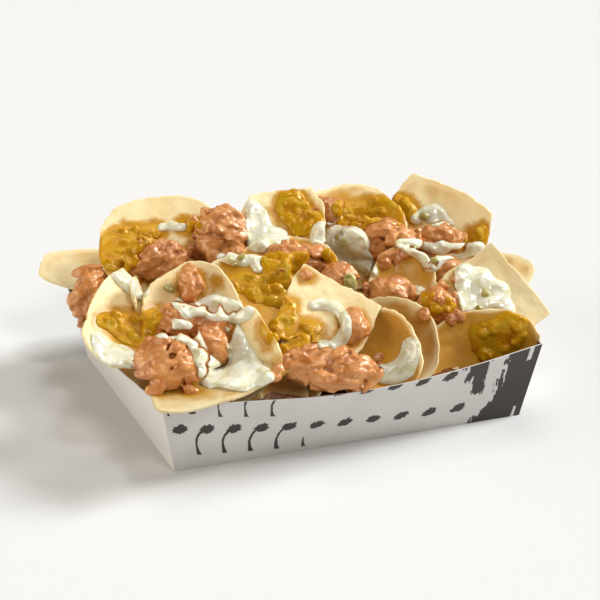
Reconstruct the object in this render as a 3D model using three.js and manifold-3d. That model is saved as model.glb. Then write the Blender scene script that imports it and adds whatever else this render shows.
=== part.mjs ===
// Loaded nachos in a tapered board tray.
// Millimetres, +Z up. The origin is the middle of the tray's underside, +X runs along the tray's
// long side and the front of the tray faces -Y.
import * as THREE from "three";
import { mergeVertices } from "three/addons/utils/BufferGeometryUtils.js";
import Module from "manifold-3d";

const wasm = await Module();
wasm.setup();

// The tray: a flat rectangular floor with four walls that lean outwards and bow at their middles.
const TRAY_LENGTH = 170;
const TRAY_WIDTH = 135;
const WALL_SLANT = 38.7;
const BOARD = 0.6;
const CORNER_FLARE_X = 7.9;
const CORNER_FLARE_Y = 6.4;
const MIDDLE_FLARE_X = 14.4;
const MIDDLE_FLARE_Y = 18.1;
const WALL_STEPS = 10;
const WALL_ROWS = 2;

// The food.
const CHIP_RADIUS = 29;
const CHIP_THICKNESS = 1.4;
const GAP = 0.3;
const CHIP_RINGS = 2;
const CHIP_SIDES = 12;
const CHIP_RIPPLE = 0.05;
const RIPPLE_TURNS = 2.2;
const EDGE_WAVES = { 3: 0.025, 5: 0.02 };
const SLOPE_STEP = 0.05;

const COLOURS = {
  tray: { color: 0xd8d6d3, roughness: 0.6 },
  chip: { color: 0xe9cf95, roughness: 0.7 },
  meat: { color: 0xb9714f, roughness: 0.4 },
  relish: { color: 0xb78f2e, roughness: 0.25 },
  cream: { color: 0xe4e4cf, roughness: 0.3 },
  bed: { color: 0x9a6438, roughness: 0.5 },
};

// Each chip is a thin round that curls. at is its middle. facing is the compass angle of its face,
// from the front (0) towards +X (90), and lean is how far the face looks up: 0 stands, 90 lies flat.
// spin turns it in its own plane. bend is the curl in radians from the middle to the edge, fold turns
// the curl's axis away from upright, and twist lifts opposite corners. wide and tall stretch it, boxy
// squares it off, taper narrows one end, skew slants its ends, and corners and sharp make it a polygon.
const CHIPS = [
  { name: "back_left", at: [-52, 48, 60], facing: -20, lean: 50, wide: 32, bend: 0.35, twist: 0.15 },
  {
    name: "left_tip", at: [-80, 63, 47], facing: -20, lean: 74, wide: 28, tall: 16, boxy: 5,
    taper: -0.3, bend: 0.3,
  },
  {
    name: "left_bowl", at: [-95, -22, 54], facing: 15, lean: 56, spin: -30, wide: 22, tall: 33,
    corners: 3, sharp: 0.5, bend: 0.85,
  },
  { name: "left_arch", at: [-61, -25, 52], facing: -15, lean: 42, wide: 25, bend: 0.7, fold: 20 },
  {
    name: "left_curl", at: [-83, -10, 59], facing: 60, lean: 10, wide: 8, tall: 13, bend: 0.7,
    sides: 10,
  },
  {
    name: "left_glazed", at: [-32, -10, 53], facing: -10, lean: 60, wide: 26, tall: 26, bend: 0.4,
    fold: 30,
  },
  {
    name: "front_strip", at: [-60, -71, 41], facing: -45, lean: 82, spin: 50, wide: 39, tall: 13,
    boxy: 8, taper: 0.4, skew: 0.45, bend: 0.2, sides: 18,
  },
  {
    name: "front_square", at: [-46, -54, 46.5], facing: -60, lean: 35, spin: 56, wide: 16,
    tall: 20, boxy: 6, bend: 0.2,
  },
  {
    name: "front_middle", at: [-5, -46, 53], facing: -5, lean: 52, spin: 5, wide: 28, tall: 30,
    corners: 4, sharp: 0.9, bend: 0.25, twist: 0.15,
  },
  {
    name: "front_cup", at: [15, -59, 37], facing: -58, lean: 52, wide: 27, tall: 24, bend: 1.2,
    fold: 75,
  },
  {
    name: "front_cup_behind", at: [25, -48, 36], facing: -45, lean: 48, wide: 28, tall: 25,
    bend: 0.95, fold: 70,
  },
  {
    name: "right_front", at: [67, -60, 27], facing: -8, lean: 15, spin: 8, wide: 31, tall: 25,
    bend: 0.45, twist: 0.1,
  },
  {
    name: "right_big", at: [80, -38, 44.5], facing: -10, lean: 45, spin: -12, wide: 30, tall: 31,
    corners: 4, sharp: 0.85, bend: 0.35, fold: 60,
  },
  { name: "right_tip", at: [99, 4, 39], facing: 20, lean: 80, wide: 25, tall: 20, bend: 0.3 },
  {
    name: "back_right", at: [79, 25, 57.5], facing: -22, lean: 45, spin: 16, wide: 31, tall: 32,
    corners: 4, sharp: 0.6, bend: 0.55, fold: 30,
  },
  { name: "back_middle", at: [37, 31, 59], facing: -30, lean: 50, wide: 31, bend: 0.5 },
  {
    name: "top", at: [1, 28, 68], facing: -25, lean: 45, spin: -30, wide: 24, tall: 28, corners: 5,
    sharp: 0.8, bend: 0.35, twist: 0.2,
  },
  { name: "centre_fold", at: [50, -8, 45], facing: -20, lean: 35, wide: 17, tall: 22, bend: 1 },
  { name: "centre_left", at: [-5, 4, 56], facing: -15, lean: 60, wide: 25, tall: 24, bend: 0.3 },
  {
    name: "behind_left", at: [-36, 67, 45], facing: 168, lean: 32, spin: 15, tall: 24, corners: 4,
    sharp: 0.5, bend: 0.45,
  },
  { name: "behind_middle", at: [10, 65, 50], facing: 188, lean: 40, tall: 24, bend: 0.5, fold: 60 },
  {
    name: "behind_right", at: [57, 65, 46], facing: 165, lean: 28, spin: 40, tall: 25, corners: 3,
    sharp: 0.45, bend: -0.4,
  },
  { name: "right_back", at: [82, 44, 47], facing: 120, lean: 50, wide: 21, tall: 19, bend: 0.3 },
];

// Toppings: lumps of shredded meat, pads of relish and dollops of cream. size is measured along the
// piece's own frame, so the last number is its thickness.
const TOPPINGS = {
  meat: [
    { name: "left_rim", at: [-93, 33, 47], size: [16, 24, 17], facing: -40, lean: 20 },
    { name: "back_left", at: [-58, 34, 60], size: [28, 20, 17] },
    { name: "peak", at: [-28, 32, 68], size: [25, 28, 16] },
    { name: "arch_streak", at: [-59, -17, 67], size: [9, 18, 8], lean: 39 },
    { name: "left_ridge", at: [-65, -32, 56], size: [34, 14, 14], spin: -8 },
    { name: "front_left", at: [-83, -58, 49], size: [29, 25, 24], detail: 2 },
    { name: "left_hook", at: [-62, -48, 49], size: [14, 18, 14] },
    { name: "front_rim", at: [-15, -77, 43], size: [44, 20, 15], lean: 55, spin: -6, detail: 2 },
    { name: "back_bit", at: [28, 36, 72], size: [14, 12, 12] },
    { name: "back_band", at: [47, 16, 63], size: [38, 17, 16] },
    { name: "right_band", at: [78, 13, 60], size: [20, 13, 12] },
    { name: "centre", at: [0, 6, 63], size: [28, 15, 14] },
    { name: "centre_bit", at: [17, -10, 57], size: [14, 12, 12] },
    { name: "fold_block", at: [39, -20, 50], size: [22, 12, 12] },
    { name: "ring_bit", at: [6, -54, 52], size: [12, 18, 9] },
    { name: "right_gap", at: [72, -4, 50], size: [18, 15, 14] },
    { name: "cup_gap", at: [58, -34, 46], size: [18, 14, 14] },
  ],
  relish: [
    { name: "back_left", at: [-72, 51, 61], size: [28, 18, 5], facing: -20, lean: 50 },
    { name: "top", at: [11, 28, 77], size: [18, 22, 6], facing: -25, lean: 45 },
    { name: "back_middle", at: [48, 31, 68], size: [26, 15, 6], facing: -30, lean: 50 },
    { name: "slice", at: [95, 9, 58], size: [13, 12, 4], facing: -22, lean: 45 },
    { name: "centre", at: [-10, -3, 63], size: [18, 16, 6], facing: -10, lean: 60 },
    { name: "left_glazed", at: [-26, -10, 58], size: [28, 16, 4], facing: -10, lean: 60 },
    { name: "front_middle", at: [-17, -50, 55], size: [28, 28, 6], facing: -5, lean: 52 },
    { name: "left_bowl", at: [-93, -27, 56], size: [24, 14, 6], facing: 15, lean: 56 },
    { name: "right_front", at: [75, -62, 38], size: [26, 20, 6], facing: -8, lean: 15 },
  ],
  cream: [
    { name: "left_back", at: [-85, 0, 67], size: [20, 17, 6], facing: 0, lean: 40 },
    { name: "left_bowl", at: [-101, -37, 50], size: [18, 13, 5], facing: 27, lean: 51 },
    { name: "left_arch", at: [-50, -30, 58], size: [34, 12, 5], facing: -25, lean: 40 },
    { name: "front_square", at: [-46, -62, 47], size: [24, 32, 9], facing: -50, lean: 35, detail: 2 },
    { name: "top", at: [-7, 29, 70], size: [17, 25, 6], facing: -25, lean: 45 },
    { name: "middle", at: [31, 22, 60], size: [26, 21, 12], facing: -27, lean: 45, detail: 2 },
    { name: "front_cup", at: [19, -74, 41], size: [14, 24, 5], facing: -60, lean: 55 },
    { name: "right_band", at: [66, 8, 55], size: [40, 11, 8] },
    { name: "right_big", at: [79, -36, 54], size: [26, 24, 7], facing: -10, lean: 45, detail: 2 },
  ],
};
const TOPPING_FRAME = { facing: -20, lean: 30 };
const MEAT_SWELL = 0.3;
const SAUCE_SWELL = 0.15;
const SWELLINGS = 6;
const SWELLING_TIGHTNESS = 5;

// The bed: what lies under the visible chips, heaped from the tray's floor to a low uneven dome.
const BED_EDGE_HEIGHT = 25;
const BED_RISE = 24;
const BED_PEAK_Y = 15;
const BED_HALF_X = 94;
const BED_HALF_Y = 88;
const BED_UNEVEN = 2.5;
const BED_WAVE_X = 9;
const BED_WAVE_Y = 8;
const BED_RINGS = 3;
const BED_STEPS = 6;

const HASH_FACTOR = 2246822519;
const HASH_STEP = 3266489917;
const HASH_RANGE = 2 ** 32;

// A repeatable run of random numbers from 0 to 1 for each seed.
function seeded(seed) {
  let state = seed * HASH_STEP + HASH_FACTOR;
  return () => {
    state = (Math.imul(state ^ (state >>> 15), HASH_FACTOR) + HASH_STEP) | 0;
    return ((state ^ (state >>> 13)) >>> 0) / HASH_RANGE;
  };
}

function solidFrom(positions, triangles) {
  return new wasm.Manifold(
    new wasm.Mesh({
      numProp: 3,
      vertProperties: new Float32Array(positions),
      triVerts: new Uint32Array(triangles),
    }),
  );
}

// The frame of a piece: its face looks along normal, and up runs up its face.
function faceFrame({ at, facing = 0, lean = 0, spin = 0 }) {
  const turn = THREE.MathUtils.degToRad(facing);
  const rise = THREE.MathUtils.degToRad(Math.min(lean, 89.9));
  const normal = new THREE.Vector3(
    Math.sin(turn) * Math.cos(rise),
    -Math.cos(turn) * Math.cos(rise),
    Math.sin(rise),
  );
  const up = new THREE.Vector3(0, 0, 1).addScaledVector(normal, -normal.z).normalize();
  const right = new THREE.Vector3().crossVectors(up, normal);
  const roll = new THREE.Matrix4().makeRotationZ(THREE.MathUtils.degToRad(spin));
  return new THREE.Matrix4()
    .makeBasis(right, up, normal)
    .multiply(roll)
    .setPosition(new THREE.Vector3(...at));
}

// How far the outline lies from the middle at an angle: a round, a squared round or a polygon.
function outline(chip, angle) {
  const { wide = CHIP_RADIUS, tall = CHIP_RADIUS, boxy = 2, corners = 0, sharp = 0, seed } = chip;
  const across = Math.abs(Math.cos(angle) / wide) ** boxy;
  const along = Math.abs(Math.sin(angle) / tall) ** boxy;
  let reach = (across + along) ** (-1 / boxy);
  if (corners) {
    const half = Math.PI / corners;
    const away = THREE.MathUtils.euclideanModulo(angle - Math.PI / 2 + half, 2 * half) - half;
    reach *= 1 - sharp + (sharp * Math.cos(half)) / Math.cos(half - Math.abs(away));
  }
  const broadWave = EDGE_WAVES[3] * Math.sin(3 * angle + seed);
  const fineWave = EDGE_WAVES[5] * Math.sin(5 * angle + 2 * seed);
  return reach * (1 + broadWave + fineWave);
}

// A point of the chip's middle surface, from its place on the flat round.
function curled(chip, x, y) {
  const { bend = 0, fold = 0, twist = 0, taper = 0, skew = 0, wide = CHIP_RADIUS, seed } = chip;
  const axis = THREE.MathUtils.degToRad(fold);
  const flatX = x + skew * y;
  const flatY = y * (1 - (taper * x) / wide);
  const across = flatX * Math.cos(axis) + flatY * Math.sin(axis);
  const along = -flatX * Math.sin(axis) + flatY * Math.cos(axis);
  const curve = Math.max(Math.abs(bend), 1e-3) / CHIP_RADIUS;
  const side = Math.sign(bend) || 1;
  const bentAcross = Math.sin(curve * across) / curve;
  const ripple = CHIP_RIPPLE * across * Math.sin((RIPPLE_TURNS * along) / CHIP_RADIUS + seed);
  const saddle = (twist * across * along) / CHIP_RADIUS;
  const height = (side * (1 - Math.cos(curve * across))) / curve + ripple + saddle;
  return new THREE.Vector3(
    bentAcross * Math.cos(axis) - along * Math.sin(axis),
    bentAcross * Math.sin(axis) + along * Math.cos(axis),
    height,
  );
}

function chipSolid(chip, grow) {
  const half = CHIP_THICKNESS / 2 + grow;
  const { rings = CHIP_RINGS, sides = CHIP_SIDES } = chip;
  const frame = faceFrame(chip);
  const positions = [];
  for (const face of [1, -1]) {
    for (let ring = 0; ring <= rings; ring++) {
      for (let side = 0; side < (ring ? sides : 1); side++) {
        const angle = (side / sides) * 2 * Math.PI;
        const reach = ((outline(chip, angle) + grow) * ring) / rings;
        const x = reach * Math.cos(angle);
        const y = reach * Math.sin(angle);
        const middle = curled(chip, x, y);
        const alongX = curled(chip, x + SLOPE_STEP, y).sub(middle);
        const alongY = curled(chip, x, y + SLOPE_STEP).sub(middle);
        const normal = alongX.cross(alongY).normalize();
        middle.addScaledVector(normal, face * half).applyMatrix4(frame);
        positions.push(middle.x, middle.y, middle.z);
      }
    }
  }
  const perFace = 1 + rings * sides;
  const at = (face, ring, side) =>
    face * perFace + (ring ? 1 + (ring - 1) * sides + (side % sides) : 0);
  const triangles = [];
  for (let side = 0; side < sides; side++) {
    for (const face of [0, 1]) {
      const add = (a, b, c) => triangles.push(...(face ? [a, c, b] : [a, b, c]));
      add(at(face, 0, 0), at(face, 1, side), at(face, 1, side + 1));
      for (let ring = 1; ring < rings; ring++) {
        add(at(face, ring, side), at(face, ring + 1, side), at(face, ring + 1, side + 1));
        add(at(face, ring, side), at(face, ring + 1, side + 1), at(face, ring, side + 1));
      }
    }
    triangles.push(at(0, rings, side), at(1, rings, side), at(1, rings, side + 1));
    triangles.push(at(0, rings, side), at(1, rings, side + 1), at(0, rings, side + 1));
  }
  return solidFrom(positions, triangles);
}

// A lump of food: a ball with several swellings, drawn out to its size along its own frame.
function lumpSolid(lump, grow) {
  const { size, detail = 1, swell, seed } = lump;
  const ball = new THREE.IcosahedronGeometry(1, detail);
  ball.deleteAttribute("normal");
  ball.deleteAttribute("uv");
  const geometry = mergeVertices(ball, 1e-4);
  const random = seeded(seed);
  const swellings = Array.from({ length: SWELLINGS }, () =>
    new THREE.Vector3(random() - 0.5, random() - 0.5, random() - 0.5).normalize(),
  );
  const frame = faceFrame(lump);
  const positions = [];
  const point = new THREE.Vector3();
  const spots = geometry.attributes.position;
  for (let i = 0; i < spots.count; i++) {
    point.fromBufferAttribute(spots, i).normalize();
    const near = swellings.map((s) => Math.exp(SWELLING_TIGHTNESS * (s.dot(point) - 1)));
    const reach = 1 - swell / 2 + swell * near.reduce((sum, n) => sum + n, 0);
    point.multiplyScalar(reach);
    point.multiply(new THREE.Vector3(...size.map((s) => s / 2 + grow))).applyMatrix4(frame);
    positions.push(point.x, point.y, point.z);
  }
  return solidFrom(positions, geometry.index.array);
}

// A point of the tray: side 0 to 3 goes round from the front, along runs from -1 to 1, up from 0 to 1.
function trayPoint(side, along, up, inset, lift = 0) {
  const long = side % 2 === 0;
  const corner = long ? CORNER_FLARE_Y : CORNER_FLARE_X;
  const middle = long ? MIDDLE_FLARE_Y : MIDDLE_FLARE_X;
  const flare = corner + (middle - corner) * (1 - along * along);
  const endFlare = long ? CORNER_FLARE_X : CORNER_FLARE_Y;
  const halfAlong = (long ? TRAY_LENGTH : TRAY_WIDTH) / 2 - inset;
  const halfAcross = (long ? TRAY_WIDTH : TRAY_LENGTH) / 2 - inset;
  const cornerRise = Math.sqrt(WALL_SLANT ** 2 - CORNER_FLARE_X ** 2);
  const edgeRise = Math.sqrt(WALL_SLANT ** 2 - flare ** 2);
  const rise = Math.abs(along) === 1 ? cornerRise : edgeRise;
  const point = new THREE.Vector3(
    along * (halfAlong + endFlare * up),
    -(halfAcross + flare * up),
    inset + (rise + lift - inset) * up,
  );
  return point.applyAxisAngle(new THREE.Vector3(0, 0, 1), (side * Math.PI) / 2);
}

function traySolid(grow) {
  const around = 4 * WALL_STEPS;
  const positions = [];
  for (const inset of [-grow, BOARD + grow]) {
    for (let row = 0; row <= WALL_ROWS; row++) {
      for (let i = 0; i < around; i++) {
        const along = (2 * (i % WALL_STEPS)) / WALL_STEPS - 1;
        const point = trayPoint(Math.floor(i / WALL_STEPS), along, row / WALL_ROWS, inset, grow);
        positions.push(point.x, point.y, point.z);
      }
    }
    positions.push(0, 0, inset);
  }
  const perFace = (WALL_ROWS + 1) * around + 1;
  const at = (face, row, i) => face * perFace + row * around + (i % around);
  const triangles = [];
  for (let i = 0; i < around; i++) {
    for (const face of [0, 1]) {
      const add = (a, b, c) => triangles.push(...(face ? [a, c, b] : [a, b, c]));
      add(face * perFace + perFace - 1, at(face, 0, i + 1), at(face, 0, i));
      for (let row = 0; row < WALL_ROWS; row++) {
        add(at(face, row, i), at(face, row, i + 1), at(face, row + 1, i + 1));
        add(at(face, row, i), at(face, row + 1, i + 1), at(face, row + 1, i));
      }
    }
    triangles.push(at(0, WALL_ROWS, i), at(0, WALL_ROWS, i + 1), at(1, WALL_ROWS, i + 1));
    triangles.push(at(0, WALL_ROWS, i), at(1, WALL_ROWS, i + 1), at(1, WALL_ROWS, i));
  }
  return solidFrom(positions, triangles);
}

// The bed follows the tray's inside up to its edge height, then closes over in rings.
function bedSolid() {
  const around = 4 * BED_STEPS;
  const inset = BOARD + GAP;
  const edge = (i, height) => {
    const along = (2 * (i % BED_STEPS)) / BED_STEPS - 1;
    return trayPoint(Math.floor(i / BED_STEPS), along, height / WALL_SLANT, inset).setZ(height);
  };
  const dome = (x, y) => {
    const fallX = 1 - (x / BED_HALF_X) ** 2;
    const fallY = 1 - ((y - BED_PEAK_Y) / (BED_HALF_Y + BED_PEAK_Y)) ** 2;
    const fall = fallX * fallY;
    const uneven = BED_UNEVEN * Math.sin(x / BED_WAVE_X + 1) * Math.cos(y / BED_WAVE_Y);
    return BED_EDGE_HEIGHT + BED_RISE * Math.max(fall, 0) + uneven;
  };
  const rows = [];
  for (const height of [inset, BED_EDGE_HEIGHT / 2, BED_EDGE_HEIGHT]) {
    rows.push(Array.from({ length: around }, (_, i) => edge(i, height)));
  }
  const rim = rows[rows.length - 1];
  for (let ring = BED_RINGS - 1; ring > 0; ring--) {
    const share = ring / BED_RINGS;
    const inner = rim.map(({ x, y }) => new THREE.Vector3(x * share, y * share, 0));
    rows.push(inner.map((point) => point.setZ(dome(point.x, point.y))));
  }
  const positions = rows.flat().flatMap((point) => point.toArray());
  const top = rows.length * around;
  positions.push(0, 0, dome(0, 0), 0, 0, inset);
  const triangles = [];
  for (let i = 0; i < around; i++) {
    const next = (i + 1) % around;
    for (let row = 0; row < (rows.length - 1) * around; row += around) {
      triangles.push(row + i, row + next, row + around + next);
      triangles.push(row + i, row + around + next, row + around + i);
    }
    triangles.push(top - around + i, top - around + next, top);
    triangles.push(top + 1, next, i);
  }
  return solidFrom(positions, triangles);
}

function largest(solid) {
  const pieces = solid.decompose();
  return pieces.reduce((best, piece) => (piece.volume() > best.volume() ? piece : best));
}

function meshOf(name, solid, look) {
  const { numProp, vertProperties, triVerts } = solid.getMesh();
  const positions = new Float32Array((vertProperties.length / numProp) * 3);
  for (let i = 0; i * numProp < vertProperties.length; i++) {
    positions.set(vertProperties.subarray(i * numProp, i * numProp + 3), i * 3);
  }
  const geometry = new THREE.BufferGeometry()
    .setAttribute("position", new THREE.BufferAttribute(positions, 3))
    .setIndex(new THREE.BufferAttribute(new Uint32Array(triVerts), 1));
  geometry.computeVertexNormals();
  const mesh = new THREE.Mesh(geometry, new THREE.MeshStandardMaterial({ metalness: 0, ...look }));
  mesh.name = name;
  return mesh;
}

const nachos = new THREE.Group();
nachos.name = "nachos";

// Each piece gives way to the pieces before it, with a gap all round them.
const placed = [];
function place(name, solidAt, look) {
  const clear = placed.reduce((rest, before) => rest.subtract(before), solidAt(0));
  placed.push(solidAt(GAP));
  nachos.add(meshOf(name, largest(clear), look));
}

place("tray", traySolid, COLOURS.tray);
CHIPS.forEach((chip, index) => {
  const piece = { seed: index + 1, ...chip };
  place("chip_" + chip.name, (grow) => chipSolid(piece, grow), COLOURS.chip);
});
let seed = CHIPS.length;
for (const [kind, lumps] of Object.entries(TOPPINGS)) {
  const swell = kind === "meat" ? MEAT_SWELL : SAUCE_SWELL;
  for (const lump of lumps) {
    const piece = { ...TOPPING_FRAME, swell, seed: ++seed, ...lump };
    place(kind + "_" + lump.name, (grow) => lumpSolid(piece, grow), COLOURS[kind]);
  }
}
place("bed", bedSolid, COLOURS.bed);

export default nachos;
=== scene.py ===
"""Loaded nachos in a printed board tray: fine chips, shredded meat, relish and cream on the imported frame."""

import math

import bpy
import numpy as np
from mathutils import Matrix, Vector, noise
from mathutils.bvhtree import BVHTree
from mathutils.kdtree import KDTree


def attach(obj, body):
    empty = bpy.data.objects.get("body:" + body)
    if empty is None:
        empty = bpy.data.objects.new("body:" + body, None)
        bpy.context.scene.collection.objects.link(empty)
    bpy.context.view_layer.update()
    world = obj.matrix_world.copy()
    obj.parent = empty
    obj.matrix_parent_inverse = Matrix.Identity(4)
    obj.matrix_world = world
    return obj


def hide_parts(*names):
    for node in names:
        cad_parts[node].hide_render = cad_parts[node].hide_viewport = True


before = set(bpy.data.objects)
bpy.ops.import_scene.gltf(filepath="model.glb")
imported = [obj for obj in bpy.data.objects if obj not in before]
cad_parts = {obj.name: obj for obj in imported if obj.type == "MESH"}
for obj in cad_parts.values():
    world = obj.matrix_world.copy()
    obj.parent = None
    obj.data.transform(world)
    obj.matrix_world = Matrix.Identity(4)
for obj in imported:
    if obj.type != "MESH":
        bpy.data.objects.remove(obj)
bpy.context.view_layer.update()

MM = 0.001

# ---------------------------------------------------------------- camera

CAMERA_AZIMUTH = -20.58
CAMERA_ELEVATION = 23.16
CAMERA_DISTANCE = 1.4206
CAMERA_TARGET = (0.00065, 0.0, 0.04427)
CAMERA_LENS = 180
CAMERA_SENSOR = 36


def direction(azimuth, elevation):
    """The unit vector towards a place at that azimuth, 0 in front, and elevation."""
    a, e = math.radians(azimuth), math.radians(elevation)
    return Vector((math.sin(a) * math.cos(e), -math.cos(a) * math.cos(e), math.sin(e)))


camera_data = bpy.data.cameras.new("camera")
camera_data.lens = CAMERA_LENS
camera_data.sensor_width = CAMERA_SENSOR
camera_data.clip_start = 0.01
camera_data.clip_end = 50
camera = bpy.data.objects.new("camera", camera_data)
bpy.context.scene.collection.objects.link(camera)
back = direction(CAMERA_AZIMUTH, CAMERA_ELEVATION)
camera.location = Vector(CAMERA_TARGET) + back * CAMERA_DISTANCE
camera.rotation_mode = "QUATERNION"
camera.rotation_quaternion = (-back).to_track_quat("-Z", "Y")
bpy.context.scene.camera = camera

# ---------------------------------------------------------------- shapes

POUR_FACING = -20.6
POUR_LEAN = 24
TOPPING_FACING = -20
TOPPING_LEAN = 30
MOST_LEAN = 89.9


def crisp(name, at, facing, lean, glaze, tone=1.0, **shape):
    """A chip: its glaze is how soaked with sauce its face looks, and is also painted shade on chips that sit
    in shade; its tone is how pale it is beside the palest, partly its own bake and partly painted shade.
    """
    return dict(name=name, at=at, facing=facing, lean=lean, glaze=glaze, tone=tone, **shape)


def shreds(name, at, size, *also, **turn):
    """A lump of meat, with smaller ones (right, up, width) that fall around its middle."""
    return dict(name=name, at=at, size=size, also=also, **turn)


def poured(name, at, thick, *blobs, facing=POUR_FACING, lean=POUR_LEAN):
    """A sauce, poured along the view unless told: blobs are (right, up, radius) about its middle."""
    return dict(name=name, at=at, thick=thick, blobs=blobs, facing=facing, lean=lean)


# The chips as the frame has them: see outline and curled for what each word does. Millimetres.
# A chip's glaze and tone are partly painted shade: the high glaze of front_cup and right_front and the low
# tone of front_strip and right_big stand for shade on those faces.
CHIPS = [
    crisp("back_left", (-52, 48, 60), -20, 50, wide=32, bend=0.35, twist=0.15, glaze=0.0),
    crisp("left_tip", (-80, 63, 47), -20, 74, wide=28, tall=16, boxy=5, taper=-0.3, bend=0.3, glaze=0.45,
        tone=0.9),
    crisp("left_bowl", (-95, -22, 54), 15, 56, spin=-30, wide=22, tall=33, corners=3, sharp=0.5, bend=0.85,
        glaze=0.3),
    crisp("left_arch", (-61, -25, 52), -15, 42, wide=25, bend=0.7, fold=20, glaze=0.35, tone=0.95),
    crisp("left_curl", (-83, -10, 59), 60, 10, wide=8, tall=13, bend=0.7, glaze=0.5),
    crisp("left_glazed", (-32, -10, 53), -10, 60, wide=26, tall=26, bend=0.4, fold=30, glaze=0.9),
    crisp("front_strip", (-60, -71, 41), -45, 82, spin=50, wide=39, tall=13, boxy=8, taper=0.4, skew=0.45,
        bend=0.2, glaze=0.5, tone=0.72),
    crisp("front_square", (-46, -54, 46.5), -60, 35, spin=56, wide=16, tall=20, boxy=6, bend=0.2,
        glaze=0.2),
    crisp("front_middle", (-5, -46, 53), -5, 52, spin=5, wide=28, tall=30, corners=4, sharp=0.9, bend=0.25,
        twist=0.15, glaze=0.4),
    crisp("front_cup", (15, -59, 37), -58, 52, wide=27, tall=24, bend=1.2, fold=75, glaze=1.1),
    crisp("front_cup_behind", (25, -48, 36), -45, 48, wide=28, tall=25, bend=0.95, fold=70, glaze=0.7,
        tone=0.9),
    crisp("right_front", (67, -60, 27), -8, 15, spin=8, wide=31, tall=25, bend=0.45, twist=0.1, glaze=1.2),
    crisp("right_big", (80, -38, 44.5), -10, 45, spin=-12, wide=30, tall=31, corners=4, sharp=0.85,
        bend=0.35, fold=60, glaze=0.35, tone=0.88),
    crisp("right_tip", (99, 4, 39), 20, 80, wide=25, tall=20, bend=0.3, glaze=0.5, tone=0.85),
    crisp("back_right", (79, 25, 57.5), -22, 45, spin=16, wide=31, tall=32, corners=4, sharp=0.6, bend=0.55,
        fold=30, glaze=0.35),
    crisp("back_middle", (37, 31, 59), -30, 50, wide=31, bend=0.5, glaze=0.75),
    crisp("top", (1, 28, 68), -25, 45, spin=-30, wide=24, tall=28, corners=5, sharp=0.8, bend=0.35,
        twist=0.2, glaze=0.3, tone=0.97),
    crisp("centre_fold", (50, -8, 45), -20, 35, wide=17, tall=22, bend=1, glaze=0.8),
    crisp("centre_left", (-5, 4, 56), -15, 60, wide=25, tall=24, bend=0.3, glaze=1.0, tone=0.95),
    crisp("behind_left", (-36, 67, 45), 168, 32, spin=15, tall=24, corners=4, sharp=0.5, bend=0.45,
        glaze=0.3, tone=0.93),
    crisp("behind_middle", (10, 65, 50), 188, 40, tall=24, bend=0.5, fold=60, glaze=0.5),
    crisp("behind_right", (57, 65, 46), 165, 28, spin=40, tall=25, corners=3, sharp=0.45, bend=-0.4,
        glaze=0.4, tone=0.9),
    crisp("right_back", (82, 44, 47), 120, 50, wide=21, tall=19, bend=0.3, glaze=0.4),
]
CHIP_RADIUS = 29
CHIP_THICKNESS = 1.4
CHIP_RIPPLE = 0.05
RIPPLE_TURNS = 2.2
FLATTEST = 1e-3
EDGE_WAVE = 0.025
EDGE_WAVE_FINE = 0.02
MEAT = [
    shreds("left_rim", (-93, 33, 47), (16, 24, 17), (5, 8, 4), (6, -8, 4), (9, 0, 3.5), facing=-40,
        lean=20),
    shreds("back_left", (-58, 34, 60), (28, 20, 17), (-12, -4, 4), (13, 2, 5), (10, -8, 4.5), (-14, 4, 3.5),
        (2, -10, 4), (18, -4, 4)),
    shreds("peak", (-28, 32, 68), (25, 28, 16), (-12, -6, 5), (-10, 6, 4.5), (8, -10, 4.5), (12, 4, 4)),
    shreds("arch_streak", (-59, -17, 67), (9, 18, 8), lean=39),
    shreds("left_ridge", (-65, -32, 56), (34, 14, 14), (-17, -2, 4), (17, 0, 4), (10, -6, 4), (0, 6, 3.5),
        spin=-8),
    shreds("front_left", (-83, -58, 49), (29, 25, 24), (12, 6, 4), (14, -4, 4), (-12, -6, 4), (8, 13, 4),
        (-4, 13, 3.5), (10, -12, 4), (-6, -13, 4)),
    shreds("left_hook", (-62, -48, 49), (14, 18, 14), (4, -8, 3.5), (6, 5, 3.5), (7, -4, 3.5),
        (-3, 9, 3.5)),
    shreds("front_rim", (-15, -77, 43), (44, 20, 15), (-24, -2, 4), (-18, -8, 4.5), (-8, -10, 4.5),
        (4, -10, 4), (14, -9, 4), (20, -4, 4.5), (-14, 7, 4), (-4, 9, 4), (25, -1, 4), (24, 5, 3.5),
        lean=55, spin=-6),
    shreds("back_bit", (28, 36, 72), (14, 12, 12)),
    shreds("back_band", (47, 16, 63), (38, 17, 16), (14, -7, 4), (18, 2, 4), (2, -9, 4.5), (8, -9, 4),
        (22, -5, 3.5)),
    shreds("right_band", (78, 13, 60), (20, 13, 12), (-9, 0, 3.5), (9, -2, 3.5)),
    shreds("centre", (0, 6, 63), (28, 15, 14), (12, -4, 4.5), (15, 2, 4), (-10, 2, 3.5), (6, -7, 4),
        (-14, 5, 4), (-4, -6, 3.5)),
    shreds("centre_bit", (17, -10, 57), (14, 12, 12)),
    shreds("fold_block", (39, -20, 50), (22, 12, 12)),
    shreds("ring_bit", (6, -54, 52), (12, 18, 9)),
    shreds("right_gap", (72, -4, 50), (18, 15, 14), (-6, 4, 3.5), (6, -5, 3.5), (0, -8, 3.5)),
    shreds("cup_gap", (58, -34, 46), (18, 14, 14), (-8, -4, 3.5), (6, -4, 4), (-3, -8, 3.5)),
]
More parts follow.
